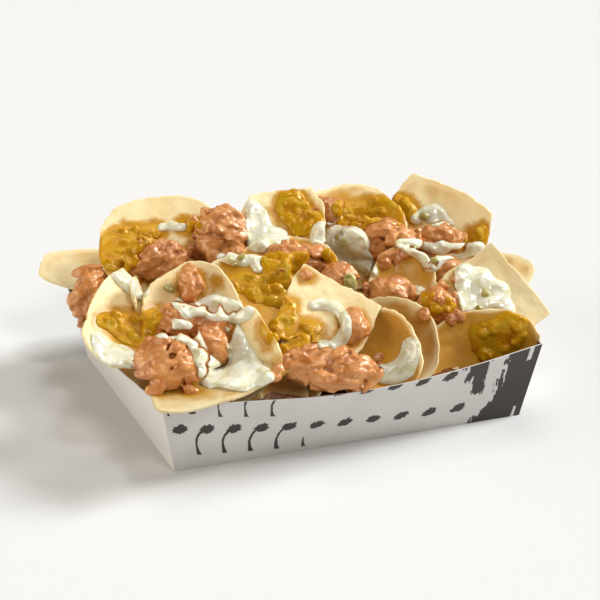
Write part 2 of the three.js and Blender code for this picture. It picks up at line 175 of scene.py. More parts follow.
RELISH = [
    poured("back_left", (-72, 51, 61), 1.7, (17, 9, 3.5), (-13, -5, 4), (-11, -3, 4.5), (-5, 1, 6.5),
        (2, 5, 6.5), (9, 3, 6), (13, 7, 4), (-4, -6, 5), (4, -4, 6), (10, -4, 5)),
    poured("top", (11, 28, 77), 1.8, (-6, 8, 4), (-2, 6, 5), (-5, 0, 5), (2, -2, 5), (7, -4, 4.5),
        (0, -7, 5), (9, -8, 3.5), (-9, 2, 3)),
    poured("back_middle", (48, 31, 68), 1.6, (-14, 4, 5), (13, 3, 4.5), (8, 7, 4), (-10, 2, 4), (-4, 3, 5),
        (3, 4, 5.5), (8, 1, 5), (2, -3, 5), (-4, -3, 4.5), (-10, -3, 3.5), (11, -4, 4)),
    poured("slice", (95, 9, 58), 1.8, (-2, -1, 4.5), (2, 2, 4.5), (3, -3, 4.5)),
    poured("centre", (-10, -3, 63), 1.7, (-6, 4, 4), (0, 2, 6), (6, 0, 5), (2, -5, 5), (-4, -3, 4.5),
        (8, 5, 3.5)),
    poured("left_glazed", (-26, -10, 58), 1.4, (-14, 1, 4), (-8, 3, 4.5), (-2, 3, 5), (4, 1, 5), (9, -2, 5),
        (13, -5, 4.5), (1, -3, 4)),
    poured("front_middle", (-17, -50, 55), 1.7, (14, -14, 4), (-15, -2, 4.5), (4, -3, 5), (-14, 11, 4),
        (-13, 5, 5), (-9, 0, 6), (-7, 8, 4.5), (-3, -5, 5.5), (3, -10, 5), (10, -13, 4), (-12, -6, 5),
        (-8, -10, 4.5)),
    poured("left_bowl", (-93, -27, 56), 1.7, (-11, 3, 4), (-5, 2, 5), (1, 1, 5), (7, 2, 5), (12, 5, 4),
        (3, -4, 5), (8, -4, 4.5), (-2, -3, 4)),
    poured("right_front", (75, -62, 38), 1.8, (-6, -2, 6), (0, 4, 6), (6, 8, 5), (3, -4, 6), (9, 1, 5),
        (-9, 4, 4), (11, 9, 4), (-2, -8, 5)),
    poured("left_peak", (-37, 50, 69), 1.2, (-3, 0, 3), (2, -1, 3.5), (6, -3, 3)),
    poured("back_notch", (69, 39, 69), 2.0, (-4, 3, 3), (0, 0, 4), (4, -3, 3.5), (5, -7, 3)),
    poured("centre_gap", (22, 10, 60), 1.6, (-3, 0, 3.5), (2, -1, 4), (4, -4, 3)),
    poured("cup_gap", (60, -25, 45), 1.6, (-5, 1, 3.5), (0, 0, 4), (4, -3, 4), (-3, -5, 3.5)),
    poured("behind_left", (-36, 70, 55), 1.5, (-9, 5, 4), (-4, 2, 5), (2, 3, 4.5), (6, -1, 5), (4, -6, 4),
        (-2, -4, 4), facing=168, lean=35),
    poured("behind_right", (66, 64, 50), 1.5, (-7, 2, 4), (-1, 3, 5), (4, -1, 5), (0, -6, 4.5),
        (9, -4, 3.5), facing=160, lean=35),
]
CREAM = [
    poured("left_back", (-85, 0, 67), 3.2, (-10, 8, 2.8), (-5, 7, 3.4), (-2, 3, 5), (3, -1, 5.5),
        (7, -5, 4.5), (1, 6, 4)),
    poured("left_bowl", (-101, -37, 50), 2.9, (-10, 6, 3), (-8, 2, 4), (-4, -2, 5), (2, -3, 5),
        (7, -5, 3.5), (-6, -5, 4)),
    poured("left_arch", (-50, -30, 58), 2.9, (-19, 4, 3), (-14, 0, 4), (-8, 2, 4), (-3, 4, 4.5), (3, 2, 5),
        (8, -1, 5), (12, 0, 4), (15, 4, 3), (-2, -1, 4)),
    poured("front_square", (-46, -62, 47), 4.1, (-9, 15, 3.2), (-7, 10, 4.4), (-6, 4, 5.2), (-3, -1, 5.6),
        (1, -6, 5.2), (-5, -5, 5.2), (7, -8, 4), (-9, -9, 4.5), (-14, -8, 4), (-3, -10, 4.6),
        (-19, -9, 4.2), (-23, -5, 3.6)),
    poured("top", (-7, 29, 70), 2.9, (-6, 12, 3.5), (-3, 7, 5), (-3, 1, 5.5), (2, -4, 6), (7, -8, 5),
        (-4, -7, 4), (8, -3, 4)),
    poured("middle", (31, 22, 60), 5.2, (-10, 6, 5), (-9, 1, 6.5), (6, 3, 5), (-6, -4, 5.5), (-3, 5, 5),
        (2, -3, 5.5), (6, -7, 5), (11, -9, 4.5), (14, -14, 3), (3, 4, 4), (9, 0, 3.5), (-1, -9, 3.5)),
    poured("front_cup", (19, -74, 41), 2.9, (7, 8, 3.5), (7, 3, 4.5), (5, -3, 5), (0, -6, 5), (-6, -6, 4.5),
        (-11, -6, 3.5), (-15, -8, 2.5)),
    poured("right_band", (66, 8, 55), 3.5, (-11, 5, 2.5), (-7, 4, 3.5), (-3, 3, 4.5), (2, 1, 5), (6, -2, 5),
        (4, -6, 3.5), (10, 3, 4), (15, 1, 4), (20, 2, 4), (25, 3, 3.5), (29, 4, 3)),
    poured("right_big", (79, -36, 54), 3.8, (-9, 8, 4), (-7, 2, 6), (-6, -4, 6), (-2, -9, 5), (2, -2, 6),
        (6, -7, 5.5), (12, -11, 4), (9, -2, 4.5), (-8, -10, 3.5), (0, 5, 4.5)),
    poured("meat_left", (-78, -50, 58), 2.9, (-6, 3, 3.8), (-1, 4, 4.6), (4, 3, 4.6), (8, 0, 3.8),
        (10, -4, 3.6), (12, -9, 3.8), (15, -13, 4.4), (18, -16, 4)),
    poured("arch_back", (-26, 8, 65), 2.3, (-10, 2, 2.5), (-5, 1, 3.4), (1, 0, 3.6), (6, 1, 3), (9, 4, 2.4),
        (8, -4, 2.6)),
    poured("ring", (-4, -49, 52), 2.6, (-7, 9, 2.6), (-3, 10, 3.2), (2, 9, 3.4), (6, 6, 3), (8, 2, 3),
        (8, -3, 3.2), (6, -7, 3.4), (2, -10, 3.4), (-3, -9, 2.8)),
    poured("back_right", (79, 26, 67), 2.9, (-8, -2, 3), (-3, 1, 4), (2, 3, 3.4), (5, 0, 3.6), (9, -4, 2.6),
        (1, -4, 3)),
    poured("behind_middle", (8, 72, 58), 2.6, (-12, 3, 3), (-7, 2, 4), (-1, 0, 5), (5, 2, 4.5), (9, -3, 4),
        (13, -6, 3), facing=184, lean=40),
    poured("behind_gap", (34, 60, 55), 2.6, (-7, 2, 3.5), (-2, 0, 4.5), (3, 1, 4.5), (7, -3, 3.5),
        facing=170, lean=45),
    poured("fold", (54, -10, 45), 2.6, (-5, 1, 2.8), (-1, 0, 3.6), (4, -1, 3.4), (6, -5, 2.4)),
    poured("left_top", (-45, 53, 68), 1.7, (-5, 0, 2.6), (0, 0.5, 3), (5, 0, 2.6)),
]


def face_frame(piece):
    """The piece's right, up and outward axes as rows, and its middle, in millimetres."""
    turn = math.radians(piece.get("facing", TOPPING_FACING))
    rise = math.radians(min(piece.get("lean", TOPPING_LEAN), MOST_LEAN))
    flat = math.cos(rise)
    normal = np.array([math.sin(turn) * flat, -math.cos(turn) * flat, math.sin(rise)])
    up = np.array([0, 0, 1.0]) - normal[2] * normal
    up /= np.linalg.norm(up)
    right = np.cross(up, normal)
    roll = math.radians(piece.get("spin", 0))
    across = math.cos(roll) * right + math.sin(roll) * up
    along = -math.sin(roll) * right + math.cos(roll) * up
    return np.array([across, along, normal]), np.array(piece["at"], float)


def to_world(piece, local):
    axes, at = face_frame(piece)
    return local @ axes + at


def outline(chip, angle):
    """How far a chip's edge lies from its middle at an angle."""
    wide, tall = chip.get("wide", CHIP_RADIUS), chip.get("tall", CHIP_RADIUS)
    boxy, corners, sharp = chip.get("boxy", 2), chip.get("corners", 0), chip.get("sharp", 0)
    seed = chip["seed"]
    across = np.abs(np.cos(angle) / wide) ** boxy
    along = np.abs(np.sin(angle) / tall) ** boxy
    reach = (across + along) ** (-1 / boxy)
    if corners:
        half = math.pi / corners
        away = np.mod(angle - math.pi / 2 + half, 2 * half) - half
        reach = reach * (1 - sharp + sharp * math.cos(half) / np.cos(half - np.abs(away)))
    wave = EDGE_WAVE * np.sin(3 * angle + seed)
    return reach * (1 + wave + EDGE_WAVE_FINE * np.sin(5 * angle + 2 * seed))


def curled(chip, x, y):
    """A chip's middle surface, bent about its fold line, from a place on the flat round."""
    bend, twist, seed = chip.get("bend", 0), chip.get("twist", 0), chip["seed"]
    axis = math.radians(chip.get("fold", 0))
    c, s = math.cos(axis), math.sin(axis)
    flat_x = x + chip.get("skew", 0) * y
    flat_y = y * (1 - chip.get("taper", 0) * x / chip.get("wide", CHIP_RADIUS))
    across = flat_x * c + flat_y * s
    along = -flat_x * s + flat_y * c
    curve = max(abs(bend), FLATTEST) / CHIP_RADIUS
    side = -1 if bend < 0 else 1
    bent = np.sin(curve * across) / curve
    ripple = CHIP_RIPPLE * across * np.sin(RIPPLE_TURNS * along / CHIP_RADIUS + seed)
    saddle = twist * across * along / CHIP_RADIUS
    height = side * (1 - np.cos(curve * across)) / curve + ripple + saddle
    return np.stack([bent * c - along * s, bent * s + along * c, height], -1)


def mesh_from(name, points, faces):
    mesh = bpy.data.meshes.new(name)
    mesh.from_pydata((np.asarray(points) * MM).tolist(), [], faces)
    mesh.validate()
    return mesh


def add_object(name, mesh):
    made = bpy.data.objects.new(name, mesh)
    bpy.context.scene.collection.objects.link(made)
    return made


def settle(obj):
    """Applies an object's modifiers to its mesh."""
    graph = bpy.context.evaluated_depsgraph_get()
    done = bpy.data.meshes.new_from_object(obj.evaluated_get(graph))
    old = obj.data
    obj.modifiers.clear()
    obj.data = done
    bpy.data.meshes.remove(old)


def points_of(mesh):
    co = np.zeros(len(mesh.vertices) * 3, np.float32)
    mesh.vertices.foreach_get("co", co)
    return co.reshape(-1, 3).astype(float) / MM


def normals_of(mesh):
    no = np.zeros(len(mesh.vertices) * 3, np.float32)
    mesh.vertex_normals.foreach_get("vector", no)
    return no.reshape(-1, 3).astype(float)


def ends_of(mesh):
    """The two points of each edge, as two columns."""
    ends = np.zeros(len(mesh.edges) * 2, int)
    mesh.edges.foreach_get("vertices", ends)
    return ends.reshape(-1, 2).T


def set_points(mesh, points):
    mesh.vertices.foreach_set("co", (points * MM).astype(np.float32).ravel())
    mesh.update()


def set_value(mesh, name, values):
    """Gives each point its value, or all the points one value, under a name."""
    layer = mesh.attributes.get(name) or mesh.attributes.new(name, "FLOAT", "POINT")
    spread = np.broadcast_to(np.asarray(values, np.float32), len(mesh.vertices))
    layer.data.foreach_set("value", np.ascontiguousarray(spread))


def keep_largest(mesh):
    """Drops all but the part of a mesh with the most vertices."""
    label = np.arange(len(mesh.vertices))
    a, b = ends_of(mesh)
    before = None
    while before is None or (label != before).any():
        low = np.minimum(label[a], label[b])
        before = label.copy()
        np.minimum.at(label, a, low)
        np.minimum.at(label, b, low)
        label = label[label]
    names, sizes = np.unique(label, return_counts=True)
    if len(names) < 2:
        return mesh
    keep = label == names[sizes.argmax()]
    index = np.cumsum(keep) - 1
    points = points_of(mesh)[keep]
    faces = [[int(index[v]) for v in p.vertices] for p in mesh.polygons if keep[p.vertices[0]]]
    return mesh_from(mesh.name, points, faces)


ROUND = 180
CRISP_EDGE = 60


def soften(mesh, angle):
    """Shades a mesh smooth, apart from the edges that turn by more than an angle in degrees."""
    mesh.polygons.foreach_set("use_smooth", [True] * len(mesh.polygons))
    mesh.set_sharp_from_angle(angle=math.radians(angle))
    mesh.update()


def field(points, scale, shift=0.0):
    """Smooth noise from about -1 to 1 at each point, its swells about scale across."""
    places = np.asarray(points, float) / scale + shift
    return np.array([noise.noise(Vector(p)) for p in places])


def rough(points, tall, wide, shift=0.0):
    """Smooth noise up to tall high, its swells about wide across."""
    return tall * field(points, wide, shift)


def scaled_to_one(vector):
    return vector / np.linalg.norm(vector)


# ---------------------------------------------------------------- the tray

TRAY_LENGTH = 170
TRAY_WIDTH = 135
WALL_SLANT = 38.7
BOARD = 0.6
CORNER_FLARE_X = 7.9
CORNER_FLARE_Y = 6.4
MIDDLE_FLARE_X = 14.4
MIDDLE_FLARE_Y = 18.1
CORNER_BLEND = 8
# What a face of the tray is: its side, 0 to 3, or one of these; INSIDE is added on the inner face.
FLOOR, INSIDE, RIM = 5, 10, 20


def tray_point(side, along, up, inset):
    """A point of the tray: sides 0 to 3 go round from the front, along -1 to 1, up 0 to 1."""
    long = side % 2 == 0
    corner = CORNER_FLARE_Y if long else CORNER_FLARE_X
    middle = MIDDLE_FLARE_Y if long else MIDDLE_FLARE_X
    flare = corner + (middle - corner) * (1 - along * along)
    end_flare = CORNER_FLARE_X if long else CORNER_FLARE_Y
    half_along = (TRAY_LENGTH if long else TRAY_WIDTH) / 2 - inset
    half_across = (TRAY_WIDTH if long else TRAY_LENGTH) / 2 - inset
    rise = math.sqrt(WALL_SLANT**2 - flare**2)
    corner_rise = math.sqrt(WALL_SLANT**2 - CORNER_FLARE_X**2)
    edge_rise = math.sqrt(WALL_SLANT**2 - corner**2)
    rise += (corner_rise - edge_rise) * along**CORNER_BLEND
    x = along * (half_along + end_flare * up)
    y = -(half_across + flare * up)
    for _ in range(side):
        x, y = -y, x
    return (x, y, inset + (rise - inset) * up)


def tray_mesh(steps, rows, insets=(0, BOARD)):
    """The tray as one closed sheet of board, with each wall's own measures on its faces."""
    around = 4 * steps
    points = []
    for inset in insets:
        for row in range(rows + 1):
            for i in range(around):
                along = 2 * (i % steps) / steps - 1
                points.append(tray_point(i // steps, along, row / rows, inset))
        points.append((0, 0, inset))
    per_face = (rows + 1) * around + 1

    def at(face, row, i):
        return face * per_face + row * around + i % around

    faces, places = [], []

    def add(corners, spots, face):
        turn = -1 if face else 1
        faces.append(corners[::turn])
        places.extend(spots[::turn])

    for i in range(around):
        a, b = (i % steps) / steps, (i % steps + 1) / steps
        for face in (0, 1):
            kind = i // steps + INSIDE * face
            middle = (face + 1) * per_face - 1
            add([middle, at(face, 0, i + 1), at(face, 0, i)], [(0, 0, FLOOR + INSIDE * face)] * 3, face)
            for row in range(rows):
                low, high = row / rows, (row + 1) / rows
                corners = [at(face, row, i), at(face, row, i + 1)]
                corners += [at(face, row + 1, i + 1), at(face, row + 1, i)]
                add(corners, [(a, low, kind), (b, low, kind), (b, high, kind), (a, high, kind)], face)
        rim = [at(0, rows, i), at(0, rows, i + 1), at(1, rows, i + 1), at(1, rows, i)]
        add(rim, [(0, 0, RIM)] * 4, 0)
    return points, faces, places


tray_points, tray_faces, tray_places = tray_mesh(40, 10)
tray = add_object("tray_board", mesh_from("tray_board", tray_points, tray_faces))
layer = tray.data.attributes.new("wall", "FLOAT_VECTOR", "CORNER")
layer.data.foreach_set("vector", np.array(tray_places, np.float32).ravel())
soften(tray.data, 35)

# ---------------------------------------------------------------- chips

EDGE_ROUNDING = 0.55
EDGE_STEPS = (1.5, 0.6, 0.28, 0.08, 0.0)
SLOPE_STEP = 0.05
JAG_REACH = 6
# How tall each roughness of a chip is, and how wide its swells are.
JAG, JAG_FINE = (0.8, 1.0), (0.5, 0.35)
WAVE, WAVE_FINE, GRAIN = (0.9, 14), (0.3, 5), (0.07, 1.6)
STEADY_EDGE = 3
BLISTERS = (9, 16)
BLISTER_AWAY = 25
BLISTER_WIDE = (1.8, 5.0)
BLISTER_TALL = (0.12, 0.2)
BLISTER_SLOPE = 1.4
BLISTER_MARGIN = 2.5
BLISTER_BEHIND = 0.7


def blisters(rng, x, y):
    """How far the blisters of a chip's front and rear stand out at each place."""
    lift = np.zeros((2, len(x)))
    for face in (0, 1):
        for _ in range(rng.integers(*BLISTERS)):
            spot = rng.uniform(-1, 1, 2) * BLISTER_AWAY
            size = rng.uniform(*BLISTER_WIDE)
            tall = rng.uniform(*BLISTER_TALL) * size
            away = ((x - spot[0]) ** 2 + (y - spot[1]) ** 2) / size**2
            lift[face] = np.maximum(lift[face], tall * np.clip(1 - away, 0, 1) ** BLISTER_SLOPE)
    return lift


def chip_mesh(chip, rings, sides, grow=0.0, fine=False):
    """A chip as one closed shell: two faces that meet in a rounded edge."""
    seed = chip["seed"]
    angle = np.arange(sides) / sides * 2 * math.pi
    reach = outline(chip, angle) + grow
    if fine:
        around = [np.cos(angle) * JAG_REACH, np.sin(angle) * JAG_REACH, np.full(sides, seed * 3.1)]
        jag = np.stack(around, -1)
        reach = reach + rough(jag, *JAG) + rough(jag, *JAG_FINE)
    inner = [reach * k / rings * (1 - EDGE_STEPS[0] / reach) for k in range(1, rings + 1)]
    radii = inner + [reach - step for step in EDGE_STEPS[1:]]
    x = np.concatenate([[0]] + [r * np.cos(angle) for r in radii])
    y = np.concatenate([[0]] + [r * np.sin(angle) for r in radii])
    from_edge = np.concatenate([[CHIP_RADIUS]] + [reach - r for r in radii])
    inward = np.clip(from_edge / EDGE_ROUNDING, 0, 1)
    half = (CHIP_THICKNESS / 2 + grow) * np.sqrt(1 - (1 - inward) ** 2)
    middle = curled(chip, x, y)
    cross = np.cross(curled(chip, x + SLOPE_STEP, y) - middle, curled(chip, x, y + SLOPE_STEP) - middle)
    normal = cross / np.linalg.norm(cross, axis=1, keepdims=True)
    front, rear = half, -half
    if fine:
        flat = np.stack([x, y, np.full(len(x), seed * 7.7)], -1)
        wave = rough(flat, *WAVE) + rough(flat, *WAVE_FINE) * np.clip(from_edge / STEADY_EDGE, 0.3, 1)
        grain = rough(flat, *GRAIN)
        lift = blisters(np.random.default_rng(seed), x, y) * np.clip(from_edge / BLISTER_MARGIN, 0, 1)
        front = front + wave + grain + lift[0]
        rear = rear + wave - grain - BLISTER_BEHIND * lift[1]
    top = middle + normal * front[:, None]
    low = middle + normal * rear[:, None]
    last = len(radii)
    count = 1 + last * sides
    points = to_world(chip, np.concatenate([top, low[: count - sides]]))

    def at(face, ring, side):
        if ring == 0:
            return count if face else 0
        place = 1 + (ring - 1) * sides + side % sides
        return place if face == 0 or ring == last else count + place

    faces = []
    for side in range(sides):
        for face in (0, 1):
            turn = -1 if face else 1
            faces.append([at(face, 0, 0), at(face, 1, side), at(face, 1, side + 1)][::turn])
            for ring in range(1, last):
                quad = [at(face, ring, side), at(face, ring + 1, side)]
                quad += [at(face, ring + 1, side + 1), at(face, ring, side + 1)]
                faces.append(quad[::turn])
    return mesh_from("chip", points, faces)


def box_of(mesh):
    points = points_of(mesh)
    return points.min(0), points.max(0)


CLEARANCE = 0.15
FILL_CLEARANCE = 0.1
cutters = []


def add_cutter(mesh):
    made = add_object("cutter", mesh)
    made.hide_render = True
    cutters.append((made, box_of(mesh)))


def cut(obj):
    """Takes the cutters that reach it out of an object, and keeps its largest part."""
    low, high = box_of(obj.data)
    for cutter, box in cutters:
        if (low < box[1]).all() and (box[0] < high).all():
            change = obj.modifiers.new("cut", "BOOLEAN")
            change.operation = "DIFFERENCE"
            change.solver = "MANIFOLD"
            change.object = cutter
    if len(obj.modifiers):
        settle(obj)
        obj.data = keep_largest(obj.data)


# The tray's walls, from 2 mm outside them to just within, keep the chips off the board.
wall_points, wall_faces, _ = tray_mesh(20, 2, (-2, BOARD + CLEARANCE))
add_cutter(mesh_from("cutter", wall_points, wall_faces))
chips = []
for index, chip in enumerate(CHIPS):
    chip["seed"] = index + 1
    made = add_object("chip_" + chip["name"] + "_crisp", chip_mesh(chip, 20, 80, fine=True))
    cut(made)
    add_cutter(chip_mesh(chip, 8, 40, grow=CLEARANCE))
    chips.append(made)

# ---------------------------------------------------------------- meat


def strung(rows, sides):
    """The faces of a closed tube of rings, whose first and last poles are its last two points."""
    faces = []
    for k in range(sides):
        n = (k + 1) % sides
        for r in range(rows - 1):
            faces.append([r * sides + k, (r + 1) * sides + k, (r + 1) * sides + n, r * sides + n])
        faces.append([rows * sides, k, n])
        faces.append([rows * sides + 1, (rows - 1) * sides + n, (rows - 1) * sides + k])
    return faces


TUBE_SIDES = 8
TUBE_ASIDE = (0.31, 0.17, 0.93)
TUBE_END = 0.6


def tube(path, radii, flat):
    """A closed tube along a path, with a pole at each end."""
    run = np.gradient(path, axis=0)
    run /= np.linalg.norm(run, axis=1, keepdims=True)
    aside = np.cross(run, TUBE_ASIDE)
    aside /= np.linalg.norm(aside, axis=1, keepdims=True)
    third = np.cross(run, aside)
    angle = np.arange(TUBE_SIDES) / TUBE_SIDES * 2 * math.pi
    ring = aside[:, None] * np.cos(angle)[None, :, None]
    ring = ring + flat * third[:, None] * np.sin(angle)[None, :, None]
    body = path[:, None] + ring * radii[:, None, None]
    poles = run * radii[:, None] * TUBE_END
    ends = np.stack([path[0] - poles[0], path[-1] + poles[-1]])
    return np.concatenate([body.reshape(-1, 3), ends]), strung(len(path), TUBE_SIDES)


def ball(centre, size, axes, lumpy, seed, rows=8, sides=12):
    """An uneven ellipsoid, with its size along each of the axes, as a closed mesh."""
    polar = np.linspace(0, math.pi, rows + 1)[1:-1]
    angle = np.arange(sides) / sides * 2 * math.pi
    rings = [
        (math.sin(p) * math.cos(a), math.sin(p) * math.sin(a), math.cos(p)) for p in polar for a in angle
    ]
    unit = np.array(rings + [(0, 0, 1), (0, 0, -1)])
    unit = unit * (1 + rough(unit, lumpy, 0.7, seed * 1.7))[:, None]
    return unit * (np.asarray(size) / 2) @ axes + centre, strung(len(polar), sides)


def melted(name, parts, voxel, smooth):
    """The parts as one skin, remeshed at a voxel size in millimetres."""
    faces, start = [], 0
    for part_points, part_faces in parts:
        faces.extend([[v + start for v in face] for face in part_faces])
        start += len(part_points)
    made = add_object(name, mesh_from(name, np.concatenate([part[0] for part in parts]), faces))
    skin = made.modifiers.new("skin", "REMESH")
    skin.mode = "VOXEL"
    skin.voxel_size = voxel * MM
    ease = made.modifiers.new("ease", "SMOOTH")
    ease.factor = 0.5
    ease.iterations = smooth
    settle(made)
    return made


class Pile:
    """Everything laid so far, for finding the surface under a topping."""

    def __init__(self, objects):
        self.points, self.faces, self.count, self.built = [], [], 0, None
        for obj in objects:
            self.add(obj)

    def add(self, obj):
        start = self.count
        self.points.append(points_of(obj.data))
        self.faces.extend(tuple(v + start for v in p.vertices) for p in obj.data.polygons)
        self.count += len(self.points[-1])
        self.built = None

    def tree(self):
        if self.built is None:
            self.built = BVHTree.FromPolygons(np.concatenate(self.points).tolist(), self.faces)
        return self.built


POUR_AXES, _ = face_frame(dict(at=(0, 0, 0), facing=POUR_FACING, lean=POUR_LEAN))
DROP_HEIGHT = 40


def dropped(pile, at, right, up):
    """Where something lands that comes along the view, right and up of a point, and the normal there."""
    origin = np.asarray(at, float) + right * POUR_AXES[0] + up * POUR_AXES[1]
    origin = origin + DROP_HEIGHT * POUR_AXES[2]
    hit = pile.tree().ray_cast(Vector(origin), Vector(-POUR_AXES[2]), 3 * DROP_HEIGHT)
    return None if hit[0] is None else (np.array(hit[0]), np.array(hit[1]))


CHUNK_LUMPY = 0.42


def chunk(rng, centre, dims, lie, outward):
    """A torn piece that lies along a direction on a surface that faces outward."""
    turn = scaled_to_one(lie - (lie @ outward) * outward)
    side = np.cross(outward, turn)
    return ball(centre, dims, np.array([turn, side, outward]), CHUNK_LUMPY, rng.integers(99))


MEAT_VOXEL = 0.62
MEAT_CORE = 0.78
CORE_LUMPY = 0.4
GRAIN_TURN = 0.9
# Of the chunks and of the strands: how many, the area for each one more, how many of them face out,
# how deep they lie as a share of the lump's size, and how far they stray from its grain.
CHUNKS, AREA_A_CHUNK, CHUNKS_OUT, CHUNK_DEPTH, CHUNK_STRAY = 8, 20, 0.75, (0.6, 1.06), 0.5
STRANDS, AREA_A_STRAND, STRANDS_OUT, STRAND_DEPTH, STRAND_STRAY = 2, 55, 0.8, (0.8, 0.95), 0.45
CHUNK_SIZES = ((8, 16), (4.5, 8.5), (3.5, 6))
CHUNK_LIMITS = (1.1, 0.65, 0.5)
STRAND_LENGTH = (6, 13)
STRAND_LIMIT = 0.55
STRAND_THICK = (1.1, 1.9)
STRAND_FLAT = (0.6, 1.0)
STRAND_HUG = (0.7, 1.3)
STRAND_TAPER = 1.7
STRAND_SWAY = 0.6
SWAY_LENGTH = 2.5
ALSO_CHUNKS = 3
ALSO_AWAY = 0.35
ALSO_RISE = 0.3
ALSO_STRAY = 0.7
ALSO_SIZES = ((1.3, 2), (0.9, 1.3), (0.7, 1))
RELIEF, RELIEF_BROAD = (0.34, 1.7), (0.55, 5.0)
SHRED_STRETCH = 0.78


def sizes_from(rng, ranges):
    return np.array([rng.uniform(*ends) for ends in ranges])


def over_lump(rng, size, axes, outer):
    """A random way out of a lump, and the normal there; outer is the share that is made to face out."""
    unit = rng.normal(size=3)
    unit[2] = abs(unit[2]) if rng.random() < outer else unit[2]
    unit /= np.linalg.norm(unit)
    return unit, unit / size @ axes


def strand(rng, at, size, axes, grain):
    """A strand that hugs a lump and mostly runs with its grain."""
    unit, outward = over_lump(rng, size, axes, STRANDS_OUT)
    outward = scaled_to_one(outward)
    turn = grain + STRAND_STRAY * rng.normal(size=3)
    turn = scaled_to_one(turn - (turn @ outward) * outward)
    length = min(rng.uniform(*STRAND_LENGTH), size.max() * STRAND_LIMIT)
    along = np.linspace(-0.5, 0.5, 8) * length
    start = at + (unit * size / 2 * rng.uniform(*STRAND_DEPTH)) @ axes
    hug = along**2 / size.min() * rng.uniform(*STRAND_HUG)
    sway = np.cross(outward, turn) * rng.normal() * STRAND_SWAY
    path = start + along[:, None] * turn - hug[:, None] * outward
    path = path + np.sin(along / SWAY_LENGTH + rng.uniform(0, 6))[:, None] * sway
    taper = np.sqrt(np.clip(1 - (along / length * STRAND_TAPER) ** 2, 0.3, 1))
    return tube(path, rng.uniform(*STRAND_THICK) * taper, rng.uniform(*STRAND_FLAT))


def meat_piece(lump, seed):
    """A lump of shredded meat: torn chunks and strands that mostly run one way."""
    rng = np.random.default_rng(seed)
    axes, at = face_frame(lump)
    size = np.array(lump["size"], float)
    grain_angle = rng.uniform(-GRAIN_TURN, GRAIN_TURN)
    grain = math.cos(grain_angle) * axes[0] + math.sin(grain_angle) * axes[1]
    parts = [ball(at, size * MEAT_CORE, axes, CORE_LUMPY, seed)]
    area = size[0] * size[1]
    for _ in range(int(CHUNKS + area / AREA_A_CHUNK)):
        unit, outward = over_lump(rng, size, axes, CHUNKS_OUT)
        centre = at + (unit * size / 2 * rng.uniform(*CHUNK_DEPTH)) @ axes
        dims = np.minimum(sizes_from(rng, CHUNK_SIZES), size.min() * np.array(CHUNK_LIMITS))
        lie = grain + CHUNK_STRAY * rng.normal(size=3)
        parts.append(chunk(rng, centre, dims, lie, scaled_to_one(outward)))
    for _ in range(int(STRANDS + area / AREA_A_STRAND)):
        parts.append(strand(rng, at, size, axes, grain))
    for right, up, wide in lump["also"]:
        landed = dropped(chip_pile, lump["at"], right, up)
        if landed is None:
            continue
        for _ in range(ALSO_CHUNKS):
            aside = rng.normal(size=2) * wide * ALSO_AWAY
            centre = landed[0] + aside[0] * axes[0] + aside[1] * axes[1]
            centre = centre + POUR_AXES[2] * wide * ALSO_RISE
            dims = wide * sizes_from(rng, ALSO_SIZES)
            lie = grain + ALSO_STRAY * rng.normal(size=3)
            parts.append(chunk(rng, centre, dims, lie, POUR_AXES[2]))
    made = melted("meat_" + lump["name"] + "_shreds", parts, MEAT_VOXEL, 2)
    points, normals = points_of(made.data), normals_of(made.data)
    stretched = points - SHRED_STRETCH * (points @ grain)[:, None] * grain
    relief = rough(stretched, *RELIEF, seed) + rough(points, *RELIEF_BROAD, seed + 9)
    set_points(made.data, points + normals * relief[:, None])
    return made


MEAT_SEED = 100
chip_pile = Pile(chips)
meats = [meat_piece(piece, MEAT_SEED + i) for i, piece in enumerate(MEAT)]


def hollows(mesh, rounds=16):
    """How far each point lies below its smoothed surroundings, in millimetres, as hollow; the meat and relish
    looks darken the hollows as painted shade.
    """
    points = points_of(mesh)
    a, b = ends_of(mesh)
    count = np.bincount(np.concatenate([a, b]), minlength=len(points))[:, None]
    eased = points
    for _ in range(rounds):
        total = np.zeros_like(points)
        np.add.at(total, a, eased[b])
        np.add.at(total, b, eased[a])
        eased = total / np.maximum(count, 1)
    set_value(mesh, "hollow", ((eased - points) * normals_of(mesh)).sum(1))


# ---------------------------------------------------------------- what lies beneath

CORE_EDGE = 21
CORE_RISE = 16
CORE_PEAK_Y = 15
CORE_HALF = (94, 88)
CORE_INSET = 1.3
CORE_LUMPS, CORE_LUMPS_FINE = (1.6, 6), (0.8, 2.5)


def core_height(x, y):
    fall = (1 - (x / CORE_HALF[0]) ** 2) * (1 - ((y - CORE_PEAK_Y) / (CORE_HALF[1] + CORE_PEAK_Y)) ** 2)
    return CORE_EDGE + CORE_RISE * max(fall, 0)


def core_mesh(steps=24, rings=14):
    """The dark heap under the loose chips, its dark colour painted shade for the gaps in the pile: it follows
    the walls, then rises to its middle.
    """
    around = 4 * steps
    rows = []
    for height in np.linspace(CORE_INSET, CORE_EDGE, 5):
        up = height / WALL_SLANT
        walls = [tray_point(i // steps, 2 * (i % steps) / steps - 1, up, CORE_INSET) for i in range(around)]
        rows.append([(x, y, height) for x, y, _ in walls])
    rim = rows[-1]
    for ring in range(rings - 1, 0, -1):
        share = ring / rings
        rows.append([(x * share, y * share, core_height(x * share, y * share)) for x, y, _ in rim])
    points = [point for row in rows for point in row] + [(0, 0, CORE_INSET), (0, 0, core_height(0, 0))]
    points = np.array(points)
    lumpy = rough(points, *CORE_LUMPS) + rough(points, *CORE_LUMPS_FINE)
    points[:, 2] += np.where(points[:, 2] > CORE_EDGE - 1, lumpy, 0)
    return mesh_from("core", points, [face[::-1] for face in strung(len(rows), around)])


core = add_object("bed_core", core_mesh())

FILL_SEED = 77
FILL_HALF = (84, 66)
FILL_SQUARE = 6
FILL_STRAY = 0.3
